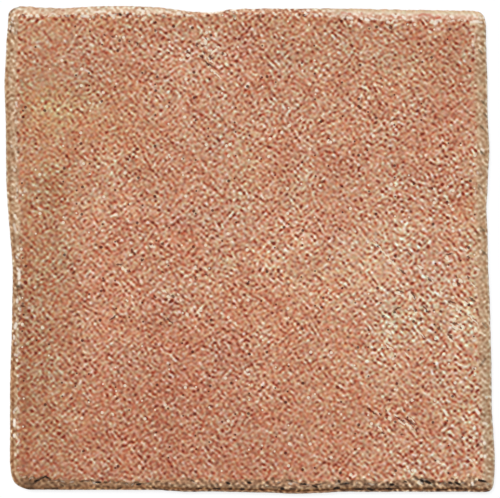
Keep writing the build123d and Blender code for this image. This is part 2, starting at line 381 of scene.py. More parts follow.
# chalky, worn bits of the crest, and painted highlights where the crest and a chip in it catch the light
CHALKY_AND_HIGHLIT = (
    (11.5, 22, 11.9, 22.5, 1.9, 0.6), (10.2, 26.2, 10.6, 26.8, 1.7, 0.75), (12.3, 30.2, 12.8, 30.9, 1.9, 0.65), (14.6, 23.2, 15, 23.7, 1.9, 0.5),
    (12.4, 18.5, 12.8, 19.3, 2.6, 0.75), (9.3, 28.3, 9.7, 29, 2.0, 0.7), (13.4, 28.3, 13.5, 29, 1.8, 0.45),
    (9.5, 78, 9.8, 78.8, 2.4, 0.45), (16.2, 102.8, 17, 106.2, 2.0, 0.65), (11.7, 145.8, 11.8, 146.6, 2.0, 0.5),
    (17, 121.3, 17.2, 122, 2.0, 0.4), (14.5, 169.6, 14.6, 170.5, 2.1, 0.6), (15.6, 196.8, 15.7, 197.7, 2.1, 0.6),
    (17.3, 190.2, 17.4, 191, 2.0, 0.55), (24.6, 190.2, 24.9, 191, 2.1, 0.75), (15, 215, 16, 218, 2.2, 0.7),
    (14, 224.5, 16, 231, 2.4, 0.5), (16.5, 256.6, 17.5, 257.5, 2.1, 0.65), (17.8, 268.4, 19.5, 270, 2.2, 0.9),
    (19.4, 272.3, 19.4, 279, 2.4, 0.95), (19.5, 282.6, 19.6, 283.5, 2.6, 1.0), (17.3, 299.5, 17.3, 301.7, 2.2, 0.9),
    (18.9, 307.8, 20.6, 310.6, 2.0, 0.6), (16.2, 323.4, 15, 327.3, 3.0, 0.85), (15, 314, 15.1, 315, 2.2, 0.4),
    (14, 335.8, 14, 338, 2.4, 0.7), (15.6, 342.4, 15.7, 343.2, 2.2, 0.5), (15, 354.3, 17.3, 354.8, 2.2, 0.7),
    (17.3, 359, 17.4, 360, 2.0, 0.5), (14.5, 419.5, 14.5, 425, 2.6, 1.0), (14.2, 434.7, 14.3, 435.5, 2.7, 0.95),
    (13.9, 411.3, 14, 412, 2.1, 0.6), (17.3, 407.3, 15, 409.5, 2.0, 0.6), (15.6, 453.5, 15.7, 454.4, 2.1, 0.6),
    (19, 439.6, 19.1, 440.4, 2.0, 0.55), (52.3, 13.9, 53.3, 13.9, 2.0, 0.6), (57.9, 16.2, 59, 16.2, 2.0, 0.5),
    (81.7, 16.2, 88.4, 16.7, 2.3, 0.85), (95, 12.3, 102.8, 11.7, 1.9, 0.75), (110.6, 15, 114, 17.8, 2.2, 0.85),
    (137.8, 10, 144, 11.2, 2.3, 0.8), (147.3, 11.2, 149, 12.6, 2.0, 0.65), (159.5, 12, 161.7, 12, 2.0, 0.65),
    (91.2, 11.7, 92.2, 11.7, 2.0, 0.45), (167.8, 12.3, 170, 12.3, 1.8, 0.65), (177.3, 12.5, 180, 12.5, 2.0, 0.65),
    (185, 10, 188.4, 11.7, 2.0, 0.6), (201, 11.3, 212.5, 12.3, 3.0, 1.0), (217.8, 11.7, 223.4, 10.6, 2.2, 0.85),
    (231, 10.6, 235.6, 9, 2.3, 0.55), (261, 9.5, 263, 11.7, 2.0, 0.5), (307.3, 10.6, 308.4, 10.6, 2.6, 0.85),
    (315.2, 15.4, 316.2, 15.8, 2.8, 0.95), (301.8, 11.2, 302.8, 11.2, 2.0, 0.5), (327.8, 11.7, 333.4, 10.6, 2.2, 0.5),
    (346.7, 17.8, 351.2, 18.6, 2.2, 0.9), (365, 19.5, 367.8, 20.6, 2.7, 1.0), (386.8, 22.1, 387.9, 22.6, 2.4, 0.85),
    (402, 16.8, 402.8, 17.3, 2.2, 0.9), (411.5, 19.1, 412, 19.9, 2.0, 0.75), (358.3, 12.1, 358.8, 12.6, 1.9, 0.6),
    (434.3, 22, 435.7, 22.6, 2.6, 0.9), (450, 16.2, 451.7, 17.8, 2.3, 0.9), (445.7, 10.3, 446.3, 10.9, 2.0, 0.4),
    (472.8, 21.7, 477, 21.7, 2.7, 0.85), (479.7, 17.4, 480.2, 18.1, 2.1, 0.7), (396, 21.2, 396.5, 21.6, 2.0, 0.5),
    (471.6, 44.6, 472, 45.4, 2.2, 0.75), (470, 22.3, 481, 22.3, 2.0, 0.7), (478, 38, 478.1, 38.8, 2.2, 0.6),
    (480.7, 149, 482.4, 150, 2.2, 0.8), (479.6, 251.3, 479.7, 252, 2.1, 0.65), (476.8, 172.4, 476.9, 173.2, 2.4, 0.55),
    (480.7, 192.4, 480.8, 193.2, 2.3, 0.55), (474, 268, 478, 269.5, 2.0, 0.65), (483.4, 442, 483.6, 442.7, 3.0, 1.0),
    (484, 455.2, 484, 456, 2.8, 1.0), (485.7, 423.4, 483, 422.3, 2.1, 0.75), (481.3, 436, 481.3, 436.6, 2.2, 0.5),
    (93.4, 482.3, 96.1, 482.3, 1.9, 0.55), (289, 482.6, 291, 483.4, 1.9, 0.65), (418.4, 480.8, 421.3, 482.8, 1.9, 0.6),
    (471.6, 482.2, 472.2, 484, 2.4, 0.95),
)
# redder patches where the pale skin is rubbed off
ROSY = (
    (341.7, 12.8, 345, 13.4, 2.6, 0.55), (347.7, 14, 349.4, 14, 2.6, 0.7), (361, 13, 361.3, 14.2, 2.2, 0.75),
    (390.4, 16.4, 392, 16.9, 2.4, 0.6), (400, 17.5, 401, 18.2, 2.2, 0.6), (418.4, 15.8, 421.7, 14.3, 2.4, 0.75),
    (421.7, 14.3, 428.4, 15.2, 2.6, 0.75), (428.4, 15.2, 431.7, 17.3, 2.6, 0.75), (435.6, 18.5, 439, 17.7, 2.6, 1.0),
    (62.3, 10.4, 63.3, 10.4, 2.4, 0.5), (42, 11.6, 43, 11.6, 2.6, 0.25), (129, 12.4, 131, 12.8, 2.4, 0.4),
    (110, 10.4, 111.2, 10.6, 2.2, 0.2), (295, 11.5, 296.5, 12, 3.0, 0.5), (257, 9, 258.5, 9.8, 2.6, 0.5),
    (227, 10.6, 228.5, 10.8, 2.8, 0.4), (279, 11, 280.3, 11.4, 2.6, 0.4),
)


def marked(px, py, table):
    out = np.zeros(np.shape(px))
    for x1, y1, x2, y2, wide, k in table:
        dx, dy = x2 - x1, y2 - y1
        t = np.clip(((px - x1) * dx + (py - y1) * dy) / max(dx * dx + dy * dy, 1e-6), 0, 1)
        away = np.hypot(px - x1 - t * dx, py - y1 - t * dy)
        out = np.maximum(out, k * smooth(away, 0.8 * wide, 0.2 * wide))
    return out


# ---------------------------------------------------------------------------
# Heights
# ---------------------------------------------------------------------------
FACE = THICKNESS - 0.27


def face_height(x, y):
    h = (
        0.050 * gradient_noise(x / 61.0, y / 61.0, 31) / 0.25
        + 0.028 * gradient_noise(x / 21.0, y / 21.0, 32) / 0.25
    )
    return FACE + np.clip(h, -0.16, 0.12)


def relief(x, y):
    """The coarse part of the grain, in units of its own spread."""
    return worm_noise(x, y, 3.1, 5.6, 41)


section_u = np.array([u for u, f in BORDER_SECTION])
section_f = np.array([f for u, f in BORDER_SECTION])


def section(u):
    """Rise of the rolled border, smoothed between the solid's own steps."""
    d = np.linspace(-0.03, 0.03, 7)
    return np.mean([np.interp(np.clip(u + k, 0, 1), section_u, section_f) for k in d], axis=0)


# the broken ledge along the lower side: how far the face stands over the band
cliff = stretches(px_i, (
    (28, 60, 1.05), (60, 74, 0.6), (78, 90, 0.95), (90, 108, 0.8), (108, 126, 0.4), (126, 146, 0.7),
    (146, 168, 0.3), (186, 196, 0.35), (224, 232, 0.6), (246, 252, 0.6), (262, 270, 0.25),
    (286, 294, 0.5), (298, 322, 0.7), (336, 352, 0.75), (387, 396, 0.8), (414, 432, 1.2),
    (446, 462, 0.95), (473, 487, 0.8),
)) * s_dn + 0.14 * s_dn
cliff *= 1.0 + 0.3 * round_the_edge(4.0, 71)

# the pressed shoulder just inside the outline of the lower side
shoulder = course(px_i, ((0, 0.0), (120, 0.0), (160, 0.35), (205, 0.85), (300, 1.0), (494, 1.0))) * s_dn
shoulder_at = 1.7 + 0.2 * round_the_edge(8.0, 75)

U = np.array([
    0.0, 0.035, 0.09, 0.16, 0.23, 0.30, 0.37, 0.44, 0.51, 0.58, 0.65, 0.72, 0.79, 0.86, 0.92, 0.97,
    1.02, 1.07, 1.13, 1.20, 1.30,
])

rings = []          # (xy, z, u) for each closed ring of M points, bed to face
wall_noise = 0.10 * round_the_edge(9.0, 51) + 0.06 * round_the_edge(4.0, 52)
for z, inset in ((0.0, BED_INSET), (0.35, 1.2), (WALL_FOOT, FOOT_INSET), (2.3, 0.52), (3.7, 0.34), (5.0, 0.17)):
    keep = 0.0 if z == 0.0 else 1.0
    local = 0.5 * wall_noise * keep + keep * 0.05 * round_the_edge(3.1, int(60 + z * 3))
    xy = O + inward * np.clip(inset + local, 0.02, None)[:, None]
    rings.append((xy, np.full(M, z), np.full(M, -1.0 + z / WALL_TOP)))

RISE = THICKNESS - 0.05 - WALL_TOP
for u in U:
    d = u * width
    xy = O + inward * d[:, None]
    base = WALL_TOP + RISE * section(np.full(M, min(u, 1.0)))
    face = face_height(xy[:, 0], xy[:, 1])
    # lower side: a shoulder, a steep riser, then the band up to the ledge
    run_in = np.clip(d / shoulder_at, 0, 1)
    low = WALL_TOP + 0.20 * smooth(d, 0.0, 0.2) + 0.45 * run_in
    up = smooth(d, shoulder_at - 0.05, shoulder_at + 0.95)
    band = 8.45 + 0.75 * np.clip((d - shoulder_at) / np.maximum(width - shoulder_at, 1.0), 0, 1)
    creased = low * (1 - up) + band * up
    base = base * (1 - shoulder) + creased * shoulder
    # lumps of the border
    lump = (
        0.12 * gradient_noise(xy[:, 0] / 4.2, xy[:, 1] / 4.2, 72) / 0.25
        + 0.09 * gradient_noise(xy[:, 0] / 2.3, xy[:, 1] / 2.3, 73) / 0.25
    ) * (0.45 + 1.3 * s_dn) * smooth(u, 0.0, 0.12) * smooth(u, 1.25, 0.9)
    ledge = width + 0.55 * s_dn
    lip = 0.11 * np.exp(-((d - ledge - 0.1) / (0.07 * width)) ** 2) * (0.6 + 0.5 * round_the_edge(4.5, 74))
    over = smooth(u, 0.96, 1.16)
    z = (base + lump) * (1 - over) + face * over + lip
    z = z - np.clip(cliff * smooth(d, ledge + 0.25, ledge - 0.15) * smooth(u, 0.1, 0.5), 0, 1.5)
    at_x, at_y = xy[:, 0] / PLAN + 249.3, 249.65 - xy[:, 1] / PLAN
    z = z - (0.40 * marked(at_x, at_y, SHADED_LEDGE_AND_CRACKS) + 0.12 * marked(at_x, at_y, PITS)) * smooth(u, 0.0, 0.1)
    z = z + 0.07 * marked(at_x, at_y, CHALKY_AND_HIGHLIT) * smooth(u, 0.0, 0.2)
    z = z + np.clip(0.085 * relief(xy[:, 0], xy[:, 1]), -0.22, 0.2) * smooth(u, 0.85, 1.1)
    z = np.clip(z, WALL_TOP if u > 0 else 0, THICKNESS - 0.005)
    rings.append((xy, z, np.full(M, u)))

# ---------------------------------------------------------------------------
# The worn face inside the border: a grid drawn over the wavy outline
# ---------------------------------------------------------------------------
b_xy = (O + inward * (np.minimum(1.46 * width, width + 3.6))[:, None])[::2]
n = GRID
bottom_e = b_xy[0:n + 1]
right_e = b_xy[n:2 * n + 1]
top_e = b_xy[2 * n:3 * n + 1][::-1]
left_e = np.concatenate([b_xy[3 * n:], b_xy[:1]])[::-1]
p = np.linspace(0, 1, n + 1)[:, None, None]
q = np.linspace(0, 1, n + 1)[None, :, None]
grid = (
    (1 - q) * bottom_e[:, None] + q * top_e[:, None]
    + (1 - p) * left_e[None, :] + p * right_e[None, :]
    - (1 - p) * (1 - q) * bottom_e[0] - p * (1 - q) * bottom_e[-1]
    - (1 - p) * q * top_e[0] - p * q * top_e[-1]
)
for _ in range(60):
    grid[1:-1, 1:-1] = 0.25 * (grid[2:, 1:-1] + grid[:-2, 1:-1] + grid[1:-1, 2:] + grid[1:-1, :-2])
gx, gy = grid[..., 0], grid[..., 1]
gz = face_height(gx, gy) + np.clip(0.085 * relief(gx, gy), -0.22, 0.2)
gz = np.clip(gz, WALL_TOP, THICKNESS - 0.005)

# ---------------------------------------------------------------------------
# One closed mesh
# ---------------------------------------------------------------------------
verts = []
for xy, z, u in rings:
    verts.append(np.column_stack([xy, z]))
ring_start = [i * M for i in range(len(rings))]
WALLS = len(rings) - len(U)         # rings below the border
grid_start = len(rings) * M
verts.append(np.column_stack([gx.ravel(), gy.ravel(), gz.ravel()]))

# bed lines: the keying grooves, with a slight draft to their walls
half = GROOVE_LENGTH / 2
draft = 0.25
lines = [-half, -half + draft]
for k in range(GROOVE_COUNT):
    c = (k - (GROOVE_COUNT - 1) / 2) * GROOVE_PITCH
    lines += [c - GROOVE_WIDTH / 2, c - GROOVE_WIDTH / 2 + draft, c + GROOVE_WIDTH / 2 - draft, c + GROOVE_WIDTH / 2]
lines += [half - draft, half]
lines = np.array(lines)


def groove(a):
    d = np.abs((a + GROOVE_PITCH * (GROOVE_COUNT / 2 + 1)) % GROOVE_PITCH - GROOVE_PITCH / 2)
    inside = np.abs(a) < GROOVE_COUNT * GROOVE_PITCH / 2
    return np.where(inside, np.clip((GROOVE_WIDTH / 2 - d) / draft, 0, 1), 0.0)


bx, by = np.meshgrid(lines, lines, indexing="ij")
ends_x = np.clip((half - np.abs(bx)) / draft, 0, 1)
ends_y = np.clip((half - np.abs(by)) / draft, 0, 1)
bz = GROOVE_DEPTH * np.maximum(groove(bx) * ends_y, groove(by) * ends_x)
bed_start = grid_start + gx.size
verts.append(np.column_stack([bx.ravel(), by.ravel(), bz.ravel()]))
verts = np.concatenate(verts)

quads, tris = [], []
i0 = np.arange(M)
i1 = (i0 + 1) % M
for a, b in zip(ring_start[:-1], ring_start[1:]):
    quads.append(np.column_stack([a + i0, a + i1, b + i1, b + i0]))

# from the fine border to the face's own boundary, two steps to one
k = np.arange(n)


def gid(i, j):
    return grid_start + i * (n + 1) + j


loop = np.concatenate([
    gid(k, 0), gid(n, k), gid(n - k, n), gid(0, n - k),
])
last = ring_start[-1]
j0 = np.arange(4 * n)
j1 = (j0 + 1) % (4 * n)
f0, f1, f2 = last + 2 * j0, last + 2 * j0 + 1, last + (2 * j0 + 2) % M
tris.append(np.column_stack([f0, f1, loop[j0]]))
tris.append(np.column_stack([f1, loop[j1], loop[j0]]))
tris.append(np.column_stack([f1, f2, loop[j1]]))

ii, jj = np.meshgrid(np.arange(n), np.arange(n), indexing="ij")
ii, jj = ii.ravel(), jj.ravel()
quads.append(np.column_stack([gid(ii, jj), gid(ii + 1, jj), gid(ii + 1, jj + 1), gid(ii, jj + 1)]))

# the bed: groove grid, then a flat rim zipped to the lowest ring
L = len(lines)


def bid(i, j):
    return bed_start + i * L + j


ii, jj = np.meshgrid(np.arange(L - 1), np.arange(L - 1), indexing="ij")
ii, jj = ii.ravel(), jj.ravel()
bed_quads = np.column_stack([bid(ii, jj), bid(ii, jj + 1), bid(ii + 1, jj + 1), bid(ii + 1, jj)])
k = np.arange(L - 1)
inner_loop = np.concatenate([bid(k, 0), bid(L - 1, k), bid(L - 1 - k, L - 1), bid(0, L - 1 - k)])
inner_pos = np.concatenate([(lines[:-1] + half) / (2 * half) + m for m in (0, 1, 2, 3)])
outer_pos = np.arange(M) / AROUND
bed_tris = []
a = b = 0
NI = len(inner_loop)
while a < M or b < NI:
    pa = outer_pos[a + 1] if a + 1 < M else 4.0
    pb = inner_pos[b + 1] if b + 1 < NI else 4.0
    if b >= NI or (a < M and pa <= pb):
        bed_tris.append((a % M, inner_loop[b % NI], (a + 1) % M))
        a += 1
    else:
        bed_tris.append((a % M, inner_loop[b % NI], inner_loop[(b + 1) % NI]))
        b += 1
bed_tris = np.array(bed_tris)

quads = np.concatenate(quads)
tris = np.concatenate(tris)


def to_mesh(name, verts, faces_lists):
    me = bpy.data.meshes.new(name)
    loops = np.concatenate([f.ravel() for f in faces_lists])
    totals = np.concatenate([np.full(len(f), f.shape[1]) for f in faces_lists])
    starts = np.concatenate([[0], np.cumsum(totals)[:-1]])
    me.vertices.add(len(verts))
    me.vertices.foreach_set("co", (verts * MM).astype(np.float32).ravel())
    me.loops.add(len(loops))
    me.loops.foreach_set("vertex_index", loops.astype(np.int32))
    me.polygons.add(len(totals))
    me.polygons.foreach_set("loop_start", starts.astype(np.int32))
    me.polygons.foreach_set("loop_total", totals.astype(np.int32))
    me.update(calc_edges=True)
    me.validate()
    return me


mesh = to_mesh("tile_surface", verts, [quads, tris, bed_quads, bed_tris])
flat_from = len(quads) + len(tris)
is_smooth = np.ones(len(mesh.polygons), bool)
is_smooth[flat_from:] = False
mesh.polygons.foreach_set("use_smooth", is_smooth)
tile = bpy.data.objects.new("tile_surface", mesh)
bpy.context.scene.collection.objects.link(tile)

# The map for laying out the surface's colours: everything that shows from above as it lies, each side wall as a strip,
# the bed in two halves.
ON_MAP = 0.8 / 333.2
ON_BED_MAP = 0.16 / 182.0
flat_uv = 0.01 + (verts[:, :2] + 166.6) * ON_MAP
quad_uv = flat_uv[quads]
p0 = (i0 % AROUND) / AROUND
across_uv = 0.01 + 0.8 * np.column_stack([p0, p0 + 1 / AROUND, p0 + 1 / AROUND, p0])
level_z = [float(np.mean(z)) for xy, z, u in rings]
for band in range(WALLS):
    rows = slice(band * M, (band + 1) * M)
    lo_z, hi_z = level_z[band], level_z[band + 1]
    quad_uv[rows, :, 0] = across_uv
    quad_uv[rows, :, 1] = 0.83 + 0.04 * (i0 // AROUND)[:, None] + 2 * ON_MAP * np.array([lo_z, lo_z, hi_z, hi_z])


def bed_uv(faces):
    at = verts[faces][..., :2]
    right = (at[..., 0].mean(1) > -0.01)[:, None]
    u = 0.83 + ON_BED_MAP * (at[..., 0] + np.where(right, 15.0, 166.6))
    v = np.where(right, 0.01, 0.33) + ON_BED_MAP * (at[..., 1] + 166.6)
    return np.stack([u, v], -1)


places = np.concatenate([a.reshape(-1, 2) for a in (quad_uv, flat_uv[tris], bed_uv(bed_quads), bed_uv(bed_tris))])
assert len(places) == len(mesh.loops)
layer = mesh.uv_layers.new(name="OFBake")
layer.data.foreach_set("uv", places.astype(np.float32).ravel())

print("tile triangles", 2 * len(quads) + len(tris) + 2 * len(bed_quads) + len(bed_tris))


# ---------------------------------------------------------------------------
# Where the colours go: values carried by the vertices
# ---------------------------------------------------------------------------
def lin(r, g, b):
    """Linear numbers of a colour given as 0 to 255."""
    def f(c):
        c = c / 255.0
        return c / 12.92 if c <= 0.04045 else ((c + 0.055) / 1.055) ** 2.4
    return np.array((f(r), f(g), f(b)))


X, Y = verts[:, 0], verts[:, 1]
PXV, PYV = X / PLAN + 249.3, 249.65 - Y / PLAN
nv = len(verts)


# soft mottling of the worn face: clouds of another firing tone.
# (x, y, half width, half height, turn in degrees, red, green, blue change)
CLOUDS = (
    (44, 300, 27, 170, 0, -13, -10, -11),
    (50, 110, 20, 20, 0, 5, 10, 4),
    (48, 180, 22, 26, 0, -6, -3, -6),
    (62, 60, 60, 40, 10, -3, -3, -2),
    (110, 90, 40, 34, 30, -3, -2, -3),
    (190, 54, 34, 24, -15, 4, 6, 7),
    (246, 46, 10, 22, 10, -3, -10, -6),
    (108, 205, 28, 20, 0, 4, 4, 3),
    (92, 225, 14, 12, 0, 5, 7, 7),
    (128, 150, 36, 26, -30, -1, -2, -5),
    (245, 168, 12, 34, 0, 1, 8, 4),
    (175, 222, 14, 12, 0, -2, -5, -2),
    (455, 112, 20, 24, 0, -2, -11, -10),
    (425, 140, 28, 12, 15, -1, -6, -6),
    (345, 160, 26, 24, 20, -1, -5, -5),
    (300, 140, 26, 14, 0, 0, -4, -3),
    (400, 70, 32, 22, 0, 0, 4, 1),
    (440, 60, 30, 26, 0, -6, -7, -8),
    (300, 190, 14, 22, 0, 2, 6, 4),
    (410, 262, 78, 52, -20, 4, 9, 10),
    (370, 266, 24, 15, 0, 4, 12, 11),
    (400, 236, 22, 14, -20, 5, 10, 7),
    (330, 236, 16, 12, 0, 2, -4, -3),
    (286, 250, 34, 22, -10, 6, 10, 9),
    (388, 338, 16, 26, 10, 5, 15, 14),
    (459, 312, 17, 14, 0, 5, 13, 11),
    (428, 320, 56, 46, 0, 3, 7, 8),
    (440, 368, 40, 22, 0, 3, 6, 5),
    (300, 300, 60, 40, -15, 4, 0, -2),
    (338, 390, 50, 42, 0, 1, -2, -4),
    (110, 285, 24, 60, 0, 4, 0, 0),
    (185, 265, 40, 30, 0, 3, -2, -3),
    (190, 400, 78, 60, 0, -6, -12, -10),
    (162, 410, 26, 24, 20, -4, -7, -7),
    (225, 350, 18, 20, 0, -4, -6, -4),
    (120, 465, 130, 24, 0, -6, -8, -8),
    (280, 458, 56, 26, 0, -4, -7, -7),
    (228, 262, 7, 10, 0, 6, 18, 15),
    (166, 292, 8, 7, 0, 4, 15, 12),
    (197, 307, 7, 6, 0, 4, 12, 10),
    (98, 206, 8, 8, 0, 3, 9, 8),
    (448, 432, 28, 34, 0, 2, 8, 8),
    (384, 440, 14, 11, 0, 4, 8, 8),
    (465, 456, 12, 14, 0, -2, -6, -4),
    (455, 205, 20, 12, 0, -3, -7, -6),
    (92, 410, 26, 26, 0, -5, -9, -9),
    (140, 395, 26, 40, 0, -4, -5, -5),
    (250, 455, 220, 22, 0, -2, -4, -3),
    (385, 285, 46, 50, 0, 3, 5, 5),
    (320, 46, 70, 24, 0, -5, -2, -3),
    (462, 60, 18, 40, 0, -4, 0, 0),
    (70, 100, 50, 40, 0, -1, 2, -3),
    (270, 225, 50, 22, 0, 4, 5, 5),
    (50, 225, 22, 20, 0, 3, 4, 4),
    (75, 72, 30, 26, 0, -2, -5, -1),
    (75, 175, 26, 26, 0, -3, -4, -5),
    (150, 275, 50, 28, 0, -3, -3, -4),
    (140, 330, 46, 28, 0, -3, -4, -4),
    (160, 424, 110, 28, 0, -2, -2, -3),
    (325, 275, 28, 26, 0, 2, 5, 4),
    (325, 122, 28, 26, 0, 2, 4, 3),
    (425, 125, 26, 26, 0, 1, 3, 3),
    (345, 225, 50, 26, 0, 2, 3, 3),
    (478, 280, 8, 40, 0, -2, 4, 4),
    (478, 225, 10, 22, 0, -5, -2, -1),
    (250, 27, 200, 9, 0, -3, -2, -3),
    (100, 22, 80, 8, 0, -4, -4, -6),
    (27, 350, 6, 150, 0, -6, -7, -7),
    (61, 345, 13, 120, 0, 4, 3, 3),
    (25, 95, 5, 70, 0, -8, -8, -9),
    (95, 474, 75, 6, 0, -5, -7, -6),
    (50, 45, 34, 30, 0, -1, 3, 1),
    (38, 160, 20, 34, 0, 3, 3, 2),
    (462, 302, 26, 40, 0, 1, -1, -3),
    (408, 318, 24, 22, 0, 0, 0, -5),
    (245, 19.0, 80, 2.8, 0, -9, -11, -13),
    (85, 17.5, 60, 2.8, 0, 0, -9, -11),
    (400, 20, 62, 3.0, 0, -4, -14, -17),
    (24, 400, 4.5, 90, 0, -12, -15, -14),
    (470, 315, 6, 140, 0, 3, 11, 9),
    (440, 45, 36, 22, 0, -4, -6, -5),
    (375, 46, 18, 18, 0, 0, 5, 6),
    (465, 95, 18, 14, 0, -5, -3, -3),
    (475, 165, 16, 18, 0, 1, 5, 3),
    (458, 205, 22, 18, 0, -3, -3, -5),
    (478, 255, 10, 26, 0, -3, 1, 0),
    (36, 255, 16, 36, 0, 2, 3, 1),
    (36, 310, 14, 30, 0, 3, 2, 3),
    (38, 465, 22, 12, 0, -1, -4, 0),
    (455, 410, 36, 14, 0, -4, -3, -4),
    (72, 255, 20, 16, 0, 0, 3, 3),
    (160, 298, 20, 16, 0, 1, -4, -1),
    (330, 415, 40, 16, 0, -2, -4, -4),
    (333, 157, 15, 13, 0, 2, 5, 5),
    (353, 393, 15, 15, 0, -1, 2, 4),
    (372, 266, 22, 18, 0, 1, 3, 2),
    (60, 100, 40, 36, 0, -1, 1, -1),
)
BASE = np.array([191.0, 141.0, 112.0])
LIFT = np.array([1.065, 1.01, 0.985])
tone = np.zeros((nv, 3))
for cx, cy, rx, ry, turn, dr, dg, db in CLOUDS:
    c, s = math.cos(math.radians(turn)), math.sin(math.radians(turn))
    ax, ay = PXV - cx, PYV - cy
    ax, ay = c * ax + s * ay, -s * ax + c * ay
    k = np.exp(-0.5 * ((ax / (0.75 * rx)) ** 2 + (ay / (0.75 * ry)) ** 2))
    tone += k[:, None] * np.array((dr, dg, db), float)
# the darker strip along the left ends rather suddenly
drift = 5.0 * gradient_noise(Y / 15.0, 0.5, 85) / 0.25
strip = smooth(PXV + drift, 86, 62) * smooth(PYV, 140, 225) * smooth(PYV, 500, 470)
tone += strip[:, None] * np.array((-7.0, -4.5, -5.5))
# free mottling at several sizes
for size, kr, kg, kb, seed in ((34, 0.8, 1.4, 1.2, 81), (17, 1.3, 2.2, 2.0, 82), (34, 0.9, -0.6, -1.0, 83), (15, 1.0, -0.8, -1.1, 84)):
    tone += (gradient_noise(X / size, Y / size, seed) / 0.25)[:, None] * np.array((kr, kg, kb))
tint = LIFT * ((BASE + tone) / BASE) ** 2.25
tint = np.clip(tint, 0.3, 2.2)

# how strong the grain stands out
gain = (
    0.88 + 0.12 * smooth(PXV, 40, 150) + 0.14 * smooth(PXV, 330, 430) * smooth(PYV, 80, 200)
    + 0.09 * gradient_noise(X / 24.0, Y / 24.0, 91) / 0.25 + 0.07 * gradient_noise(X / 10.0, Y / 10.0, 92) / 0.25
)
for cx, cy, rx, ry, more in (
    (47, 360, 28, 80, 0.17), (180, 330, 60, 70, 0.13), (140, 460, 50, 18, 0.14), (370, 45, 90, 20, 0.08),
    (350, 125, 90, 30, 0.08), (362, 268, 22, 22, -0.16), (330, 410, 45, 25, -0.10), (240, 35, 25, 15, 0.1),
    (34, 80, 10, 50, -0.12), (32, 300, 12, 50, 0.12), (474, 420, 8, 50, 0.12), (428, 316, 34, 26, -0.09),
):
    gain += more * np.exp(-0.5 * (((PXV - cx) / rx) ** 2 + ((PYV - cy) / ry) ** 2))
# towards the right the ridges lie more one way, and are longer
slant = smooth(PXV + 12 * gradient_noise(Y / 30.0, 0.3, 86) / 0.25, 290, 400)
slant *= 0.75 + 0.25 * np.exp(-0.5 * (((PXV - 430) / 60) ** 2 + ((PYV - 310) / 70) ** 2))
gain -= 0.05 * slant

# how deep inside the outline each point of the top lies, and the place on the
# outline that it is nearest to
D = np.full(nv, 99.0)
I = np.zeros(nv, int)
for r, (xy, z, u) in enumerate(rings):
    D[ring_start[r]:ring_start[r] + M] = np.clip(u[0], 0, None) * width
    I[ring_start[r]:ring_start[r] + M] = np.arange(M)
near = grid_start + np.where((np.abs(gx.ravel()) > 146) | (np.abs(gy.ravel()) > 146))[0]
for chunk in np.array_split(near, max(1, len(near) // 1500)):
    away = np.hypot(X[chunk, None] - O[None, :, 0], Y[chunk, None] - O[None, :, 1])
    I[chunk] = np.argmin(away, 1)
    D[chunk] = away[np.arange(len(chunk)), I[chunk]]
TOPS = np.ones(nv, bool)
TOPS[:ring_start[WALLS]] = False
TOPS[bed_start:] = False
up, rt, lt, dn = (sides[j][I] for j in range(4))
wide_v, px_v, py_v = width[I], px_i[I], py_i[I]


def across(knots):
    """Colours through the border, given at depths from the outline."""
    at = [a for a, c in knots]
    colours = np.array([lin(*c) for a, c in knots])
    return np.stack([np.interp(D, at, colours[:, j]) for j in range(3)], 1)


# The border's colours at depths from the outline, as they stand in the light. Besides the border's own cream and khaki,
# the upper side carries painted light and the lower side painted shade, darkest about 2 mm inside the outline where it
# falls steeply.
TOP_L = across(((0, (207, 176, 149)), (0.5, (209, 176, 148)), (1.2, (208, 173, 144)), (2.5, (219, 190, 162)), (6, (225, 186, 156))))
TOP_M = across(((0, (208, 177, 150)), (0.5, (209, 174, 146)), (1.5, (207, 160, 130)), (3, (218, 162, 130)), (5, (218, 170, 133))))
TOP_R = across(((0, (209, 180, 154)), (0.5, (212, 182, 152)), (1.2, (213, 181, 148)), (2.5, (226, 203, 174)), (3.4, (229, 203, 180)), (6, (216, 169, 144)), (9, (203, 163, 134))))
RIGHT_C = across(((0, (199, 176, 151)), (0.34, (199, 176, 151)), (1.0, (196, 170, 143)), (1.8, (176, 140, 106)), (4.5, (182, 149, 119)), (6, (182, 148, 119)), (8, (186, 149, 117))))
LEFT_U = across(((0, (192, 162, 132)), (0.34, (193, 163, 134)), (1.0, (186, 153, 122)), (1.7, (174, 130, 94)), (2.4, (167, 127, 93)), (3.05, (166, 127, 95)), (3.7, (175, 138, 107)), (5.2, (193, 157, 125)), (8, (188, 149, 117))))
LEFT_D = across(((0, (192, 158, 125)), (0.34, (193, 158, 125)), (1.0, (184, 144, 108)), (1.7, (160, 109, 73)), (2.4, (151, 103, 67)), (3.05, (162, 114, 81)), (3.7, (186, 148, 114)), (5.2, (187, 156, 121)), (8, (177, 136, 106))))
LOW_L = across(((0, (164, 128, 96)), (1.0, (148, 108, 75)), (1.9, (133, 92, 59)), (3.4, (145, 108, 81)), (4.4, (154, 118, 88)), (6.5, (142, 102, 72))))
LOW_R = across(((0, (154, 130, 111)), (0.9, (145, 112, 87)), (1.9, (131, 80, 40)), (2.8, (130, 91, 58)), (4.2, (151, 120, 94)), (7, (154, 118, 90))))

share_r = smooth(px_v, 305, 345)[:, None]
share_m = smooth(px_v, 160, 200)[:, None] * (1 - share_r)
top_c = TOP_L * (1 - share_m - share_r) + TOP_M * share_m + TOP_R * share_r
share = smooth(px_v, 120, 190)[:, None]
low_c = LOW_L * (1 - share) + LOW_R * share
low_c = low_c * (1 + smooth(D, 4.6, 6.2)[:, None] * (share * (1 - share_r) * np.array((0.09, 0.02, 0.0)) + share_r * 0.04))
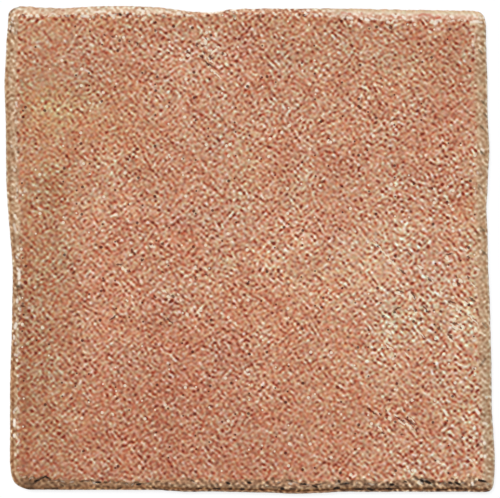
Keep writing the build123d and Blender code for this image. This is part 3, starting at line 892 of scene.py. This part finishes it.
# darker and paler stretches of the lower side: painted shade under the corner's ledge, the rubbed ledge beside it, and
# right of the middle a pale stretch and painted shade in a crease
for at, half, more in ((42, 24, -0.16), (135, 34, 0.13), (322, 18, 0.12), (374, 20, -0.12)):
    low_c = low_c * (1 + more * np.exp(-0.5 * ((px_v - at) / half) ** 2))[:, None]
down_left = smooth(py_v, 285, 345)[:, None]
left_c = LEFT_U * (1 - down_left) + LEFT_D * down_left
down_right = smooth(py_v, 290, 360)[:, None]
right_c = RIGHT_C * (1 + np.array((0.025, 0.02, 0.01)) * (1 - down_right) - np.array((0.03, 0.015, 0.0)) * down_right)
# the slopes of the four sides stand in more or less light
rim = (
    up[:, None] * top_c / 1.03 + rt[:, None] * right_c / 0.905
    + lt[:, None] * left_c / 1.02 + dn[:, None] * low_c / 0.93
) / 1.11
wobble = 1.0 + 0.04 * round_the_edge(22.0, 93) + 0.04 * round_the_edge(7.0, 94)
rim = rim * wobble[I][:, None]
rim[~TOPS] = (0.44, 0.27, 0.17)

# how strongly the grain shows in the border's colour
lively = (
    up * (
        0.27 + 0.22 * share_m[:, 0] - 0.17 * share_r[:, 0] + 0.14 * smooth(D, 2.5, 6.5)
        + 0.12 * share_r[:, 0] * smooth(D, 2.2, 4.5)
    )
    + rt * 0.27 + lt * 0.35 + dn * (0.31 + 0.09 * share[:, 0] + 0.13 * smooth(px_v, 330, 400))
)
lively = lively[:, None] * (
    up[:, None] * np.array((0.50, 1.0, 1.25)) + (rt + lt)[:, None] * np.array((0.66, 1.0, 1.26))
    + dn[:, None] * np.array((0.84, 1.0, 1.08))
)
# and how much stronger the face's own grain is just inside the crest
crest_gain = 1.0 + (0.46 - 0.28 * share_m[:, 0] - 0.20 * share_r[:, 0]) * up * smooth(D, wide_v - 1.0, wide_v + 0.6) * smooth(D, wide_v + 5.5, wide_v + 2.5)
gain = gain * crest_gain
lit = dn * smooth(px_v, 320, 380) * np.exp(-((D - wide_v - reach[I] - 1.4) / 1.2) ** 2)
tint *= 1 + lit[:, None] * np.array((0.16, 0.34, 0.34))

# edge: 1 on the border, running down to 0 on the face
edge = np.clip((wide_v + reach[I] + softness[I] - D) / (2 * softness[I]), 0, 1)
edge[~TOPS] = 1.0

# pale bits along the crest: partly wear, partly painted highlight where the crest catches the light
broken = smooth(round_the_edge(3.6, 97) + 0.7 * round_the_edge(2.0, 98), 0.2, 1.6)
crest_wear_and_glints = by_side(0.75, 0.35, 0.45, 0.35) * broken
pale = np.maximum(marked(PXV, PYV, CHALKY_AND_HIGHLIT), crest_wear_and_glints[I] * np.exp(-((D - wide_v - 0.3) / 0.55) ** 2))
rosy = marked(PXV, PYV, ROSY)

# painted shade under the ledge and in the crease of the lower side; with it go the shaded ledge lines and cracks, and
# the pits and dashes of the other sides
ledge_shade = np.clip(cliff - 0.18, 0, 1) * smooth(round_the_edge(3.0, 79), -0.6, 0.9)
crease_shade = shoulder * (0.42 + 0.4 * round_the_edge(4.0, 99))
dark = np.maximum.reduce([
    0.6 * ledge_shade[I] * np.exp(-((D - wide_v - 0.5 * dn) / 0.4) ** 2),
    np.clip(crease_shade, 0, 0.85)[I] * np.exp(-((D - shoulder_at[I] - 0.5) / 0.5) ** 2),
    0.95 * marked(PXV, PYV, SHADED_LEDGE_AND_CRACKS),
    0.85 * marked(PXV, PYV, PITS),
])
for values in (pale, rosy, dark):
    values[~TOPS] = 0.0
wall = np.where(TOPS, 0.0, 1.0)
bumpy = relief(X, Y)


def put_float(name, values):
    at = mesh.attributes.new(name, "FLOAT", "POINT")
    at.data.foreach_set("value", values.astype(np.float32))


def put_colour(name, values):
    at = mesh.attributes.new(name, "FLOAT_COLOR", "POINT")
    at.data.foreach_set("color", np.column_stack([values, np.ones(nv)]).astype(np.float32).ravel())


put_float("edge", edge)
put_float("pale", np.clip(pale, 0, 1))
put_float("dark", dark)
put_float("wall", wall)
put_float("gain", gain)
put_float("relief", bumpy)
put_colour("tint", tint)
put_colour("rim", np.clip(rim, 0, 1))
put_colour("lively", lively)
put_float("rosy", rosy)
put_float("slant", slant)


# ---------------------------------------------------------------------------
# Material
# ---------------------------------------------------------------------------
class Graph:
    """A short hand for writing shader nodes."""

    def __init__(self, tree):
        self.tree = tree
        self.count = 0

    def node(self, kind, **settings):
        nd = self.tree.nodes.new(kind)
        self.count += 1
        nd.location = (200 * (self.count % 12), -180 * (self.count // 12))
        for key, value in settings.items():
            setattr(nd, key, value)
        return nd

    def put(self, socket, value):
        if isinstance(value, bpy.types.NodeSocket):
            self.tree.links.new(value, socket)
        else:
            socket.default_value = value

    def math(self, op, a, b=None, c=None, clamp=False):
        nd = self.node("ShaderNodeMath", operation=op, use_clamp=clamp)
        for i, v in enumerate((a, b, c)):
            if v is not None:
                self.put(nd.inputs[i], v)
        return nd.outputs[0]

    def add(self, a, b):
        return self.math("ADD", a, b)

    def mul(self, a, b):
        return self.math("MULTIPLY", a, b)

    def place(self, vector, cell=1.0, shift=(0, 0, 0)):
        nd = self.node("ShaderNodeMapping", vector_type="POINT")
        self.put(nd.inputs["Vector"], vector)
        nd.inputs["Scale"].default_value = (1 / cell, 1 / cell, 1 / cell)
        nd.inputs["Location"].default_value = shift
        return nd.outputs[0]

    def noise(self, vector, cell, shift, detail=0.0, rough=0.5):
        """Noise about zero, one lattice cell every so many millimetres."""
        nd = self.node("ShaderNodeTexNoise", noise_dimensions="3D")
        self.put(nd.inputs["Vector"], self.place(vector, cell, shift))
        nd.inputs["Scale"].default_value = 1.0
        nd.inputs["Detail"].default_value = detail
        nd.inputs["Roughness"].default_value = rough
        return self.math("SUBTRACT", nd.outputs["Fac"], 0.5)

    def stripes(self, vector, wave, cell, turn, shift=(0, 0, 0)):
        """Short wavy ridges of one wavelength along one direction."""
        nd = self.node("ShaderNodeTexGabor", gabor_type="2D")
        self.put(nd.inputs["Vector"], self.place(vector, 1.0, shift))
        nd.inputs["Scale"].default_value = 1.0 / cell
        nd.inputs["Frequency"].default_value = cell / wave
        nd.inputs["Anisotropy"].default_value = 0.75
        nd.inputs["Orientation"].default_value = math.radians(turn)
        return self.math("SUBTRACT", nd.outputs["Value"], 0.5)

    def specks(self, vector, cell, shift, radius, kept):
        """Scattered round spots: a share of the cells has one."""
        nd = self.node("ShaderNodeTexVoronoi", voronoi_dimensions="2D", feature="F1")
        self.put(nd.inputs["Vector"], self.place(vector, cell, shift))
        nd.inputs["Scale"].default_value = 1.0
        nd.inputs["Randomness"].default_value = 1.0
        near = self.between(nd.outputs["Distance"], radius * 1.25 / cell, radius * 0.6 / cell)
        sep = self.node("ShaderNodeSeparateColor")
        self.put(sep.inputs[0], nd.outputs["Color"])
        some = self.math("GREATER_THAN", sep.outputs[0], 1.0 - kept)
        return self.mul(near, some)

    def between(self, value, lo, hi, out_lo=0.0, out_hi=1.0, soft=True):
        kind = "SMOOTHSTEP" if soft else "LINEAR"
        nd = self.node("ShaderNodeMapRange", interpolation_type=kind, clamp=True)
        self.put(nd.inputs["Value"], value)
        nd.inputs["From Min"].default_value = lo
        nd.inputs["From Max"].default_value = hi
        nd.inputs["To Min"].default_value = out_lo
        nd.inputs["To Max"].default_value = out_hi
        return nd.outputs["Result"]

    def ramp(self, value, stops):
        nd = self.node("ShaderNodeValToRGB")
        self.put(nd.inputs["Fac"], value)
        cr = nd.color_ramp
        while len(cr.elements) < len(stops):
            cr.elements.new(0.5)
        for e, (at, colour) in zip(cr.elements, stops):
            e.position = at
            e.color = (*colour, 1.0)
        return nd.outputs["Color"]

    def mix(self, share, a, b, blend="MIX"):
        nd = self.node("ShaderNodeMix", data_type="RGBA", blend_type=blend, clamp_factor=True)
        self.put(nd.inputs["Factor"], share)
        self.put(nd.inputs[6], a if isinstance(a, bpy.types.NodeSocket) else (*a, 1.0))
        self.put(nd.inputs[7], b if isinstance(b, bpy.types.NodeSocket) else (*b, 1.0))
        return nd.outputs[2]

    def blend(self, share, a, b):
        nd = self.node("ShaderNodeMix", data_type="FLOAT", clamp_factor=True)
        self.put(nd.inputs["Factor"], share)
        self.put(nd.inputs[2], a)
        self.put(nd.inputs[3], b)
        return nd.outputs[0]

    def attribute(self, name, what="Fac"):
        return self.node("ShaderNodeAttribute", attribute_name=name).outputs[what]

    def stroke(self, pos, x1, y1, x2, y2, wide):
        """1 along a short line between two places of the plan, 0 away from it."""
        ax, ay = plan(x1, y1)
        bx_, by_ = plan(x2, y2)
        dx, dy = bx_ - ax, by_ - ay
        n2 = max(dx * dx + dy * dy, 1e-6)
        sub = self.node("ShaderNodeVectorMath", operation="SUBTRACT")
        self.put(sub.inputs[0], pos)
        sub.inputs[1].default_value = (ax, ay, 0)
        dot = self.node("ShaderNodeVectorMath", operation="DOT_PRODUCT")
        self.put(dot.inputs[0], sub.outputs[0])
        dot.inputs[1].default_value = (dx / n2, dy / n2, 0)
        t = self.math("MAXIMUM", self.math("MINIMUM", dot.outputs["Value"], 1.0), 0.0)
        scale = self.node("ShaderNodeVectorMath", operation="SCALE")
        scale.inputs[0].default_value = (dx, dy, 0)
        self.put(scale.inputs["Scale"], t)
        away = self.node("ShaderNodeVectorMath", operation="DISTANCE")
        self.put(away.inputs[0], sub.outputs[0])
        self.put(away.inputs[1], scale.outputs[0])
        return self.between(away.outputs["Value"], wide * PLAN * 0.75, wide * PLAN * 0.25)

    def fleck(self, pos, x1, y1, x2, y2, wide):
        """Falls from 1 in the middle of a small oval between two places of the plan to 0 outside."""
        ax, ay = plan(x1, y1)
        bx_, by_ = plan(x2, y2)
        long = math.hypot(bx_ - ax, by_ - ay) / 2 + wide * PLAN / 2
        nd = self.node("ShaderNodeMapping", vector_type="TEXTURE")
        self.put(nd.inputs["Vector"], pos)
        nd.inputs["Location"].default_value = ((ax + bx_) / 2, (ay + by_) / 2, 0)
        nd.inputs["Rotation"].default_value = (0, 0, math.atan2(by_ - ay, bx_ - ax))
        nd.inputs["Scale"].default_value = (1.35 * long, 1.35 * wide * PLAN / 2, 1)
        ball = self.node("ShaderNodeTexGradient", gradient_type="SPHERICAL")
        self.put(ball.inputs["Vector"], nd.outputs[0])
        return ball.outputs["Fac"]

    def flecks(self, pos, table):
        out = None
        for mark in table:
            s = self.fleck(pos, *mark)
            out = s if out is None else self.math("MAXIMUM", out, s)
        return self.between(out, 0.0, 1 - 0.5 / 1.35)


ILLUM = 1.11        # how bright a level white surface stands in this light

mat = bpy.data.materials.new("fired_body")
mat.use_nodes = True
tree = mat.node_tree
for nd in list(tree.nodes):
    tree.nodes.remove(nd)
g = Graph(tree)
coords = g.node("ShaderNodeTexCoord")
to_mm = g.node("ShaderNodeVectorMath", operation="SCALE")
g.put(to_mm.inputs[0], coords.outputs["Object"])
to_mm.inputs["Scale"].default_value = 1000.0
pos = to_mm.outputs[0]
flat = g.node("ShaderNodeVectorMath", operation="MULTIPLY")
g.put(flat.inputs[0], pos)
flat.inputs[1].default_value = (1, 1, 0)
level = flat.outputs[0]

# the grain: short diagonal ridges and pits, both ways, stronger one way here
# and the other way there
one = g.stripes(level, 3.85, 4.4, 46)
two = g.stripes(level, 3.85, 4.3, 130, (133.0, 57.0, 0))
long = g.stripes(level, 4.5, 5.6, 66, (31.0, 217.0, 0))
slant = g.attribute("slant")
which = g.between(g.noise(level, 11.0, (7.7, 3.3, 1.1)), -0.12, 0.12)
crossed = g.add(
    g.mul(one, g.mul(g.between(which, 0, 1, 1.02, 1.24, soft=False), g.between(slant, 0, 1, 1.0, 1.04, soft=False))),
    g.mul(two, g.mul(g.between(which, 0, 1, 1.12, 0.90, soft=False), g.between(slant, 0, 1, 1.0, 0.90, soft=False))),
)
crossed = g.add(crossed, g.mul(long, g.mul(slant, 0.50)))
cloudy = g.noise(level, 13.0, (1.7, 5.3, 8.1), 2.0, 0.6)
z = g.add(g.mul(crossed, 6.4), g.mul(cloudy, 2.2))
z = g.add(z, g.mul(g.attribute("relief"), 0.18))
z = g.mul(z, g.attribute("gain"))
edge = g.attribute("edge")
bell = g.math("MULTIPLY", g.mul(edge, g.math("SUBTRACT", 1.0, edge)), 4.0)
edge = g.between(g.add(edge, g.mul(g.mul(z, bell), 0.13)), 0.12, 0.88)
z_edge = g.mul(z, g.between(edge, 0, 1, 1.0, 0.6, soft=False))

k = 1.0 / ILLUM
DEPTH = 1.02
fac = g.math("MULTIPLY_ADD", z, DEPTH / 6.8, 0.5)
body = g.ramp(fac, [
    (0.03, lin(119, 42, 27) * k), (0.235, lin(161, 87, 63) * k), (0.5, lin(192.5, 141, 111) * k),
    (0.74, lin(214.5, 184.5, 157) * k), (0.97, lin(236, 230, 214) * k),
])
# redder here, more olive there, most of all in the hollows
hue = g.add(g.mul(g.noise(level, 2.6, (21.7, 15.3, 3.1)), 5.6), g.mul(g.noise(level, 16.0, (2.7, 25.3, 4.1), 2.0), 1.4))
hue = g.mul(hue, g.between(z, -2.4, 0.2, 2.5, 1.0, soft=False))
hue = g.mul(hue, g.between(z, 0.6, 2.6, 1.0, 0.55, soft=False))
redder = g.mix(g.math("MULTIPLY_ADD", hue, 1 / 9.0, 0.5, clamp=True), (0.68, 1.07, 1.28), (1.32, 0.93, 0.72))
body = g.mix(1.0, body, redder, "MULTIPLY")
green = g.noise(level, 3.1, (61.7, 35.3, 13.1))
body = g.mix(1.0, body, g.mix(g.math("MULTIPLY_ADD", green, 2.0, 0.5, clamp=True), (1.02, 0.94, 1.06), (0.98, 1.06, 0.94)), "MULTIPLY")
body = g.mix(g.between(z, -2.5, -0.4, 0.25, 1.0), body, g.mix(1.0, body, g.attribute("tint", "Color"), "MULTIPLY"))

# scattered pinholes and lime specks
holes = g.specks(level, 12.5, (3.0, 8.0, 0), 1.05, 0.15)
holes = g.math("MAXIMUM", holes, g.specks(level, 9.0, (53.0, 18.0, 0), 0.7, 0.14))
lime = g.specks(level, 14.0, (23.0, 48.0, 0), 1.1, 0.17)
lime = g.math("MAXIMUM", lime, g.specks(level, 9.0, (93.0, 78.0, 0), 0.7, 0.12))
HOLES = (
    # the small fan of pits near the upper side
    (203.7, 60.8, 212, 67, 2.4), (196.8, 44.4, 196.8, 45.4, 3.0), (187.3, 51.4, 189.4, 52.6, 2.4),
    (201.1, 56, 201.9, 57, 2.8), (210, 58.3, 211.4, 58.7, 3.0), (205.2, 38.4, 205.5, 39, 2.4),
    (222, 52.8, 222.2, 53.8, 2.6), (202.2, 46, 202.9, 46.2, 2.2), (203.4, 52.7, 203.6, 53.3, 2.2),
    # the crack at the lower right
    (367, 407, 371, 410.4, 1.7), (371, 410.4, 376, 414.2, 2.1), (379, 413.4, 380.2, 413.6, 2.2),
    (384.8, 409.3, 385.2, 410.7, 2.0), (385.3, 416.4, 385.7, 417.6, 2.3), (394, 415.2, 400, 418.8, 1.8),
    (400, 418.8, 403.4, 420.9, 2.0), (405.3, 418.2, 413.8, 425, 2.6), (415.2, 429, 415.8, 430, 2.3),
    (388.6, 399.4, 389.5, 400.3, 2.3), (403.3, 409.2, 403.7, 410.2, 2.1), (380.4, 432.4, 383.6, 432.6, 2.5),
    # left of the middle
    (116.5, 264, 121.5, 264.4, 2.3), (129.5, 270, 130.3, 271.2, 2.6), (131.8, 249.2, 132.2, 250.2, 2.3),
    (134, 253, 134.6, 254, 2.5), (141.7, 258.7, 142.3, 259.3, 2.5), (161.8, 243.2, 163.2, 243.8, 2.7),
    (162.1, 271.7, 162.9, 272.3, 2.5), (195.1, 277.3, 195.5, 278.3, 2.7), (205.3, 274.2, 206.7, 274.8, 2.7),
    (154, 295.8, 154.6, 296.8, 2.7), (172.7, 295.8, 173.3, 296.8, 2.7), (111, 319, 115.6, 315.1, 2.3),
    (160.7, 322.7, 161.5, 323.5, 2.7), (166.4, 317.9, 172.1, 323.1, 2.3),
    # the open, streaky field at the right
    (408.4, 253, 410.2, 254.4, 2.8), (445.4, 254.2, 451.2, 253.3, 2.3), (467, 256.7, 468.2, 257.5, 2.7),
    (399, 269, 405, 274, 2.3), (454.8, 275.5, 456.2, 276.5, 2.5), (466.8, 276.5, 468.2, 277.7, 2.5),
    (428.1, 278.4, 428.9, 279.6, 2.7), (457.2, 282.5, 458.8, 283.5, 2.7), (397, 290, 402.2, 291.6, 2.4),
    (410.9, 291.8, 414.1, 298.2, 2.7), (447.8, 301.1, 453.7, 302.7, 2.7), (470, 298, 473.5, 300.6, 2.5),
    (393.4, 309.9, 400.2, 306.5, 2.5), (414.4, 309.4, 415.6, 310.6, 2.9), (422.4, 305.9, 427.6, 312.1, 2.6),
    (439.7, 310.3, 440.5, 311.9, 2.9), (419.7, 318.4, 420.3, 319.6, 2.5), (381.6, 315.7, 382.6, 316.3, 2.5),
    (450.9, 321.9, 456.2, 324.3, 2.5), (447.9, 334, 451.1, 338.2, 2.7), (437.4, 327.4, 438.6, 328.8, 2.7),
    # and one by one
    (389, 26, 391, 29, 2.8), (401, 434, 403, 434, 2.4), (19, 287, 20, 289, 2.2), (21, 296, 22, 298, 2.0),
    (22, 305, 24, 306, 2.0), (104, 35, 105, 36, 2.4), (112, 36, 114, 37, 2.2), (136, 43, 137, 44, 2.6),
    (120, 15, 121, 15, 2.4), (155, 30, 156, 31, 2.4), (452, 478, 453, 479, 1.6),
)
LIME = (
    (207, 57.4, 212.8, 62.6, 2.3), (211.2, 70, 212, 71, 3.0), (187.4, 55.1, 188.8, 55.7, 3.0),
    (179.8, 59.4, 180.6, 60.2, 2.7), (204.4, 41.1, 205.6, 41.5, 2.7), (201, 43.1, 202, 43.5, 2.5),
    (208.6, 50.4, 209.4, 51.2, 2.3), (217.2, 46.7, 218.8, 47.3, 2.9), (224.6, 54.4, 225.4, 55.2, 2.9),
    (211, 54, 216, 49.6, 1.9), (212.5, 71.5, 220.5, 78.4, 1.7),
    (388.9, 417.2, 389.7, 418.4, 3.6), (398, 419.8, 402.4, 423.4, 2.0), (402.3, 423.4, 404.8, 423.1, 2.0),
    (405, 422, 411, 427.6, 2.3), (409, 417.3, 414.6, 421.8, 1.7), (411.2, 399.2, 411.8, 399.8, 2.7),
    (405.2, 400.6, 405.8, 401.6, 2.5), (377.5, 425.5, 381, 429.5, 2.3),
    (122.7, 267.8, 123.5, 269.2, 2.9), (125.2, 269.4, 126.2, 270.8, 2.5), (150.8, 245.9, 153.2, 246.7, 2.7),
    (131.5, 295.4, 132.3, 296.8, 2.7), (168.2, 296.2, 169.8, 296.4, 2.9), (177.6, 293.7, 178.6, 294.3, 2.3),
    (180.1, 299.4, 180.9, 300.6, 2.5), (186.5, 313.7, 187.1, 315.1, 2.7), (199.2, 310, 201, 310.2, 2.7),
    (189.6, 279.3, 191, 280.5, 2.5), (126.1, 299.4, 126.9, 300.6, 2.5), (194.7, 266.8, 195.3, 268, 2.3),
    (162.8, 290.5, 165.2, 291.5, 2.5),
    (453.2, 248.7, 454.8, 249.5, 2.9), (463.8, 249.2, 465.2, 249.9, 2.5), (445.3, 256.8, 446.9, 259.2, 2.5),
    (417.4, 265.5, 421.8, 267.9, 2.5), (392.5, 261.2, 394.1, 265.2, 2.1), (397.3, 272.5, 398.7, 273.5, 2.5),
    (458.9, 278.9, 461.6, 282.1, 2.1), (452.5, 283.5, 453.5, 284.5, 2.9), (394.9, 292.1, 401.1, 294.7, 2.3),
    (408.9, 292.2, 410.1, 299.2, 2.1), (439.9, 292, 440.5, 293, 2.9), (447.9, 303.9, 453.1, 306.3, 2.3),
    (463.9, 301.9, 465.1, 303.1, 2.9), (454.9, 307.4, 461.1, 314.1, 2.1), (411.9, 306.9, 416.1, 313.5, 2.1),
    (387.9, 321.9, 393.1, 324.3, 2.5), (393.9, 313.9, 397.6, 316.3, 2.3), (448.9, 322.4, 456.1, 329.3, 2.1),
    (459.9, 323.9, 463.6, 327.3, 2.3), (446.9, 335.9, 451.1, 341.1, 2.3), (386.9, 329.9, 390.1, 334.1, 2.1),
    (372, 239, 394, 265, 1.1), (467, 313, 478, 325.5, 1.6), (470, 282, 475, 287, 1.6), (448.5, 324, 462, 330, 1.4),
    (384, 343, 392, 349, 1.5), (416, 330, 424, 337, 1.6), (404, 352, 409, 357, 1.8), (426, 276, 432, 281, 1.5),
    (237, 47, 238, 48, 2.8), (445, 412, 446, 413, 2.2), (483, 443, 484, 444, 2.4), (358, 448, 359, 448, 2.6),
    (308, 25, 308, 26, 2.4), (113, 414, 114, 414, 2.2), (15, 436, 16, 436, 2.6), (15, 445, 19, 441, 2.2),
    (468, 458, 472, 461, 1.8), (436, 460, 440, 463, 2.0),
)
# none of them is quite straight
bend = g.node("ShaderNodeTexNoise", noise_dimensions="3D")
g.put(bend.inputs["Vector"], g.place(level, 2.2, (14.4, 3.9, 6.6)))
bend.inputs["Scale"].default_value = 1.0
bend.inputs["Detail"].default_value = 1.0
off = g.node("ShaderNodeVectorMath", operation="SUBTRACT")
g.put(off.inputs[0], bend.outputs["Color"])
off.inputs[1].default_value = (0.5, 0.5, 0.5)
moved = g.node("ShaderNodeVectorMath", operation="MULTIPLY_ADD")
g.put(moved.inputs[0], off.outputs[0])
moved.inputs[1].default_value = (2.6, 2.6, 0.0)
g.put(moved.inputs[2], level)
bent = moved.outputs[0]
pits = holes
body = g.mix(g.mul(holes, 0.85), body, lin(74, 28, 22) * k)
body = g.mix(g.mul(lime, 0.8), body, lin(244, 232, 210) * k)
body = g.mix(g.mul(g.flecks(bent, LIME), 0.86), body, lin(243, 230, 206) * k)
marks = g.flecks(bent, HOLES)
body = g.mix(g.mul(marks, 0.85), body, lin(86, 34, 22) * k)

# the rolled border: paler, smoother, more olive
lively = g.node("ShaderNodeVectorMath", operation="SCALE")
g.put(lively.inputs[0], g.attribute("lively", "Vector"))
g.put(lively.inputs["Scale"], g.add(z, g.mul(g.noise(level, 1.7, (41.7, 25.3, 33.1), 1.0), 1.3)))
parts = g.node("ShaderNodeSeparateXYZ")
g.put(parts.inputs[0], lively.outputs[0])
again = g.node("ShaderNodeCombineXYZ")
for j in range(3):
    g.put(again.inputs[j], g.math("EXPONENT", parts.outputs[j]))
# rim brings the border's colours with their painted light on the upper side and painted shade on the lower side
rim_colour = g.mix(1.0, g.attribute("rim", "Color"), again.outputs[0], "MULTIPLY")
rim_hue = g.mix(g.math("MULTIPLY_ADD", g.noise(level, 3.4, (11.7, 75.3, 9.1), 1.0), 1.8, 0.5, clamp=True), (0.93, 1.02, 1.0), (1.07, 0.985, 0.98))
rim_colour = g.mix(1.0, rim_colour, rim_hue, "MULTIPLY")
most = g.node("ShaderNodeVectorMath", operation="MINIMUM")
g.put(most.inputs[0], rim_colour)
most.inputs[1].default_value = (0.78, 0.70, 0.60)
rim_colour = most.outputs[0]
body = g.mix(edge, body, rim_colour)
DASHES = (
    (478, 50, 482, 54, 2.0), (481, 101, 485, 105, 2.0), (483, 113, 487, 117, 2.0), (480, 126, 484, 130, 2.0),
    (480, 151, 484, 155, 2.0), (478, 185, 482, 189, 2.0), (480, 227, 484, 231, 2.0), (481, 250, 485, 254, 2.0),
    (469, 297, 473, 301, 2.0), (482, 323, 486, 327, 2.0),
)
dashes = None
for mark in DASHES:
    s = g.stroke(level, *mark)
    dashes = s if dashes is None else g.math("MAXIMUM", dashes, s)
body = g.mix(g.mul(dashes, 0.6), body, lin(110, 88, 62) * k)
body = g.mix(g.attribute("rosy"), body, lin(196, 104, 80) * k)
# pale: the crest's chalky worn bits and its painted highlights
body = g.mix(g.attribute("pale"), body, lin(249, 238, 222) * k)
# dark: painted shade under the ledge, in the crease and along the cracks of the lower side, and the pits and dashes of
# the other sides
body = g.mix(g.attribute("dark"), body, lin(50, 31, 20) * k)
# near-black painted shade in the deepest cracks and under the ledge of the lower side
DEEP_SHADE = (
    (281.2, 488.2, 282.6, 488.4, 3.4), (302.5, 483.7, 305.6, 484.0, 2.3), (313.6, 485.6, 316.6, 486.6, 2.3),
    (334.0, 487.6, 338.0, 487.4, 2.6), (355.0, 488.6, 362.5, 488.8, 2.3), (368.0, 488.0, 371.8, 489.6, 3.2),
    (386.0, 488.0, 391.5, 488.8, 2.3), (390.3, 483.8, 392.8, 484.1, 3.0), (420.4, 479.8, 422.8, 480.8, 2.8),
    (424.8, 480.8, 430.2, 483.0, 3.0), (449.2, 481.9, 450.6, 482.4, 2.7), (454.6, 481.7, 459.6, 484.3, 2.6),
    (478.8, 479.6, 484.0, 480.8, 2.6), (338.0, 480.2, 339.0, 480.9, 2.8), (217.4, 488.4, 219.4, 488.6, 2.5),
    (229.4, 488.6, 231.0, 488.8, 2.4), (240.4, 488.6, 243.2, 488.8, 2.7), (199.0, 488.0, 200.8, 488.2, 2.4),
    (137.2, 484.1, 140.2, 483.5, 2.2), (43.2, 477.0, 45.6, 475.8, 1.9), (45.8, 475.8, 48.0, 477.1, 1.9),
    (35.0, 480.8, 38.0, 479.8, 1.9), (227.2, 482.2, 229.0, 483.0, 2.6), (248.2, 482.1, 250.0, 482.2, 2.6),
    (97.0, 481.7, 99.6, 481.6, 2.4), (404.0, 480.6, 406.0, 481.4, 1.8), (345.0, 483.3, 349.0, 483.4, 1.8),
)
body = g.mix(g.mul(g.flecks(level, DEEP_SHADE), 0.88), body, lin(24, 14, 10) * k)

# the side walls and the bed: the plain fired clay, scuffed and dusty
clay = g.noise(pos, 6.0, (5.5, 15.5, 25.5), 4.0, 0.6)
clay_fine = g.noise(pos, 1.1, (85.5, 5.5, 2.5), 2.0, 0.6)
clay_fac = g.add(g.math("MULTIPLY_ADD", clay, 1.5, 0.5), g.mul(clay_fine, 0.7))
clay_colour = g.ramp(clay_fac, [(0.1, (0.33, 0.165, 0.095)), (0.5, (0.44, 0.25, 0.155)), (0.85, (0.52, 0.345, 0.235))])
body = g.mix(g.attribute("wall"), body, clay_colour)

bsdf = g.node("ShaderNodeBsdfPrincipled")
g.put(bsdf.inputs["Base Color"], body)
g.put(bsdf.inputs["Roughness"], g.between(z, -2.5, 2.5, 0.95, 0.76, soft=False))
bsdf.inputs["Specular IOR Level"].default_value = 0.25

height = g.blend(g.attribute("wall"), g.math("SUBTRACT", z_edge, g.mul(pits, 3.0)), g.add(g.mul(clay, 3.0), g.mul(clay_fine, 4.0)))
bump = g.node("ShaderNodeBump")
bump.inputs["Strength"].default_value = 1.0
bump.inputs["Distance"].default_value = 0.09 * MM
g.put(bump.inputs["Height"], height)
g.put(bsdf.inputs["Normal"], bump.outputs[0])
out = g.node("ShaderNodeOutputMaterial")
tree.links.new(bsdf.outputs[0], out.inputs["Surface"])
mesh.materials.append(mat)

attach(tile, "root")
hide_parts("floor_tile")

# ---------------------------------------------------------------------------
# Ground, light and camera
# ---------------------------------------------------------------------------
floor_mesh = to_mesh("ground", np.array([[-40000, -40000, -0.02], [40000, -40000, -0.02], [40000, 40000, -0.02], [-40000, 40000, -0.02]], float), [np.array([[0, 1, 2, 3]])])
ground = bpy.data.objects.new("ground", floor_mesh)
bpy.context.scene.collection.objects.link(ground)
gm = bpy.data.materials.new("pale_ground")
gm.use_nodes = True
gb = gm.node_tree.nodes["Principled BSDF"]
gb.inputs["Base Color"].default_value = (0.24, 0.24, 0.24, 1)
gb.inputs["Roughness"].default_value = 1.0
gb.inputs["Specular IOR Level"].default_value = 0.0
gb.inputs["Emission Color"].default_value = (0.97, 0.985, 1.0, 1)
gb.inputs["Emission Strength"].default_value = 0.775
floor_mesh.materials.append(gm)

world = bpy.data.worlds.new("studio")
bpy.context.scene.world = world
world.use_nodes = True
wt = world.node_tree
w = Graph(wt)
sky = w.node("ShaderNodeTexCoord")
apart = w.node("ShaderNodeSeparateXYZ")
w.put(apart.inputs[0], sky.outputs["Generated"])
shade = w.between(apart.outputs["Z"], 0.02, 0.16)
wt.links.new(w.mix(shade, (0.98, 0.985, 0.99), (0.335, 0.345, 0.355)), wt.nodes["Background"].inputs["Color"])
wt.nodes["Background"].inputs["Strength"].default_value = 1.0

sun = bpy.data.lights.new("key", "SUN")
sun.energy = 2.55
sun.angle = math.radians(26.0)
sun.color = (1.0, 0.985, 0.965)
sun_ob = bpy.data.objects.new("key", sun)
bpy.context.scene.collection.objects.link(sun_ob)
az, el = math.radians(124.0), math.radians(66.0)
towards = Vector((math.cos(el) * math.cos(az), math.cos(el) * math.sin(az), math.sin(el)))
sun_ob.location = towards * 2.0
sun_ob.rotation_euler = (-towards).to_track_quat("-Z", "Y").to_euler()

cam = bpy.data.cameras.new("camera")
cam.lens = 100.0
cam.sensor_width = 36.0
cam.clip_end = 200.0
cam_ob = bpy.data.objects.new("camera", cam)
bpy.context.scene.collection.objects.link(cam_ob)
stand_off = 500 * PLAN * MM * cam.lens / cam.sensor_width
cam_ob.location = (0.33 * PLAN * MM, 0.9 * PLAN * MM, stand_off + 7.2 * MM)
cam_ob.rotation_euler = (0, 0, 0)
bpy.context.scene.camera = cam_ob
bpy.context.scene.view_settings.view_transform = "Standard"
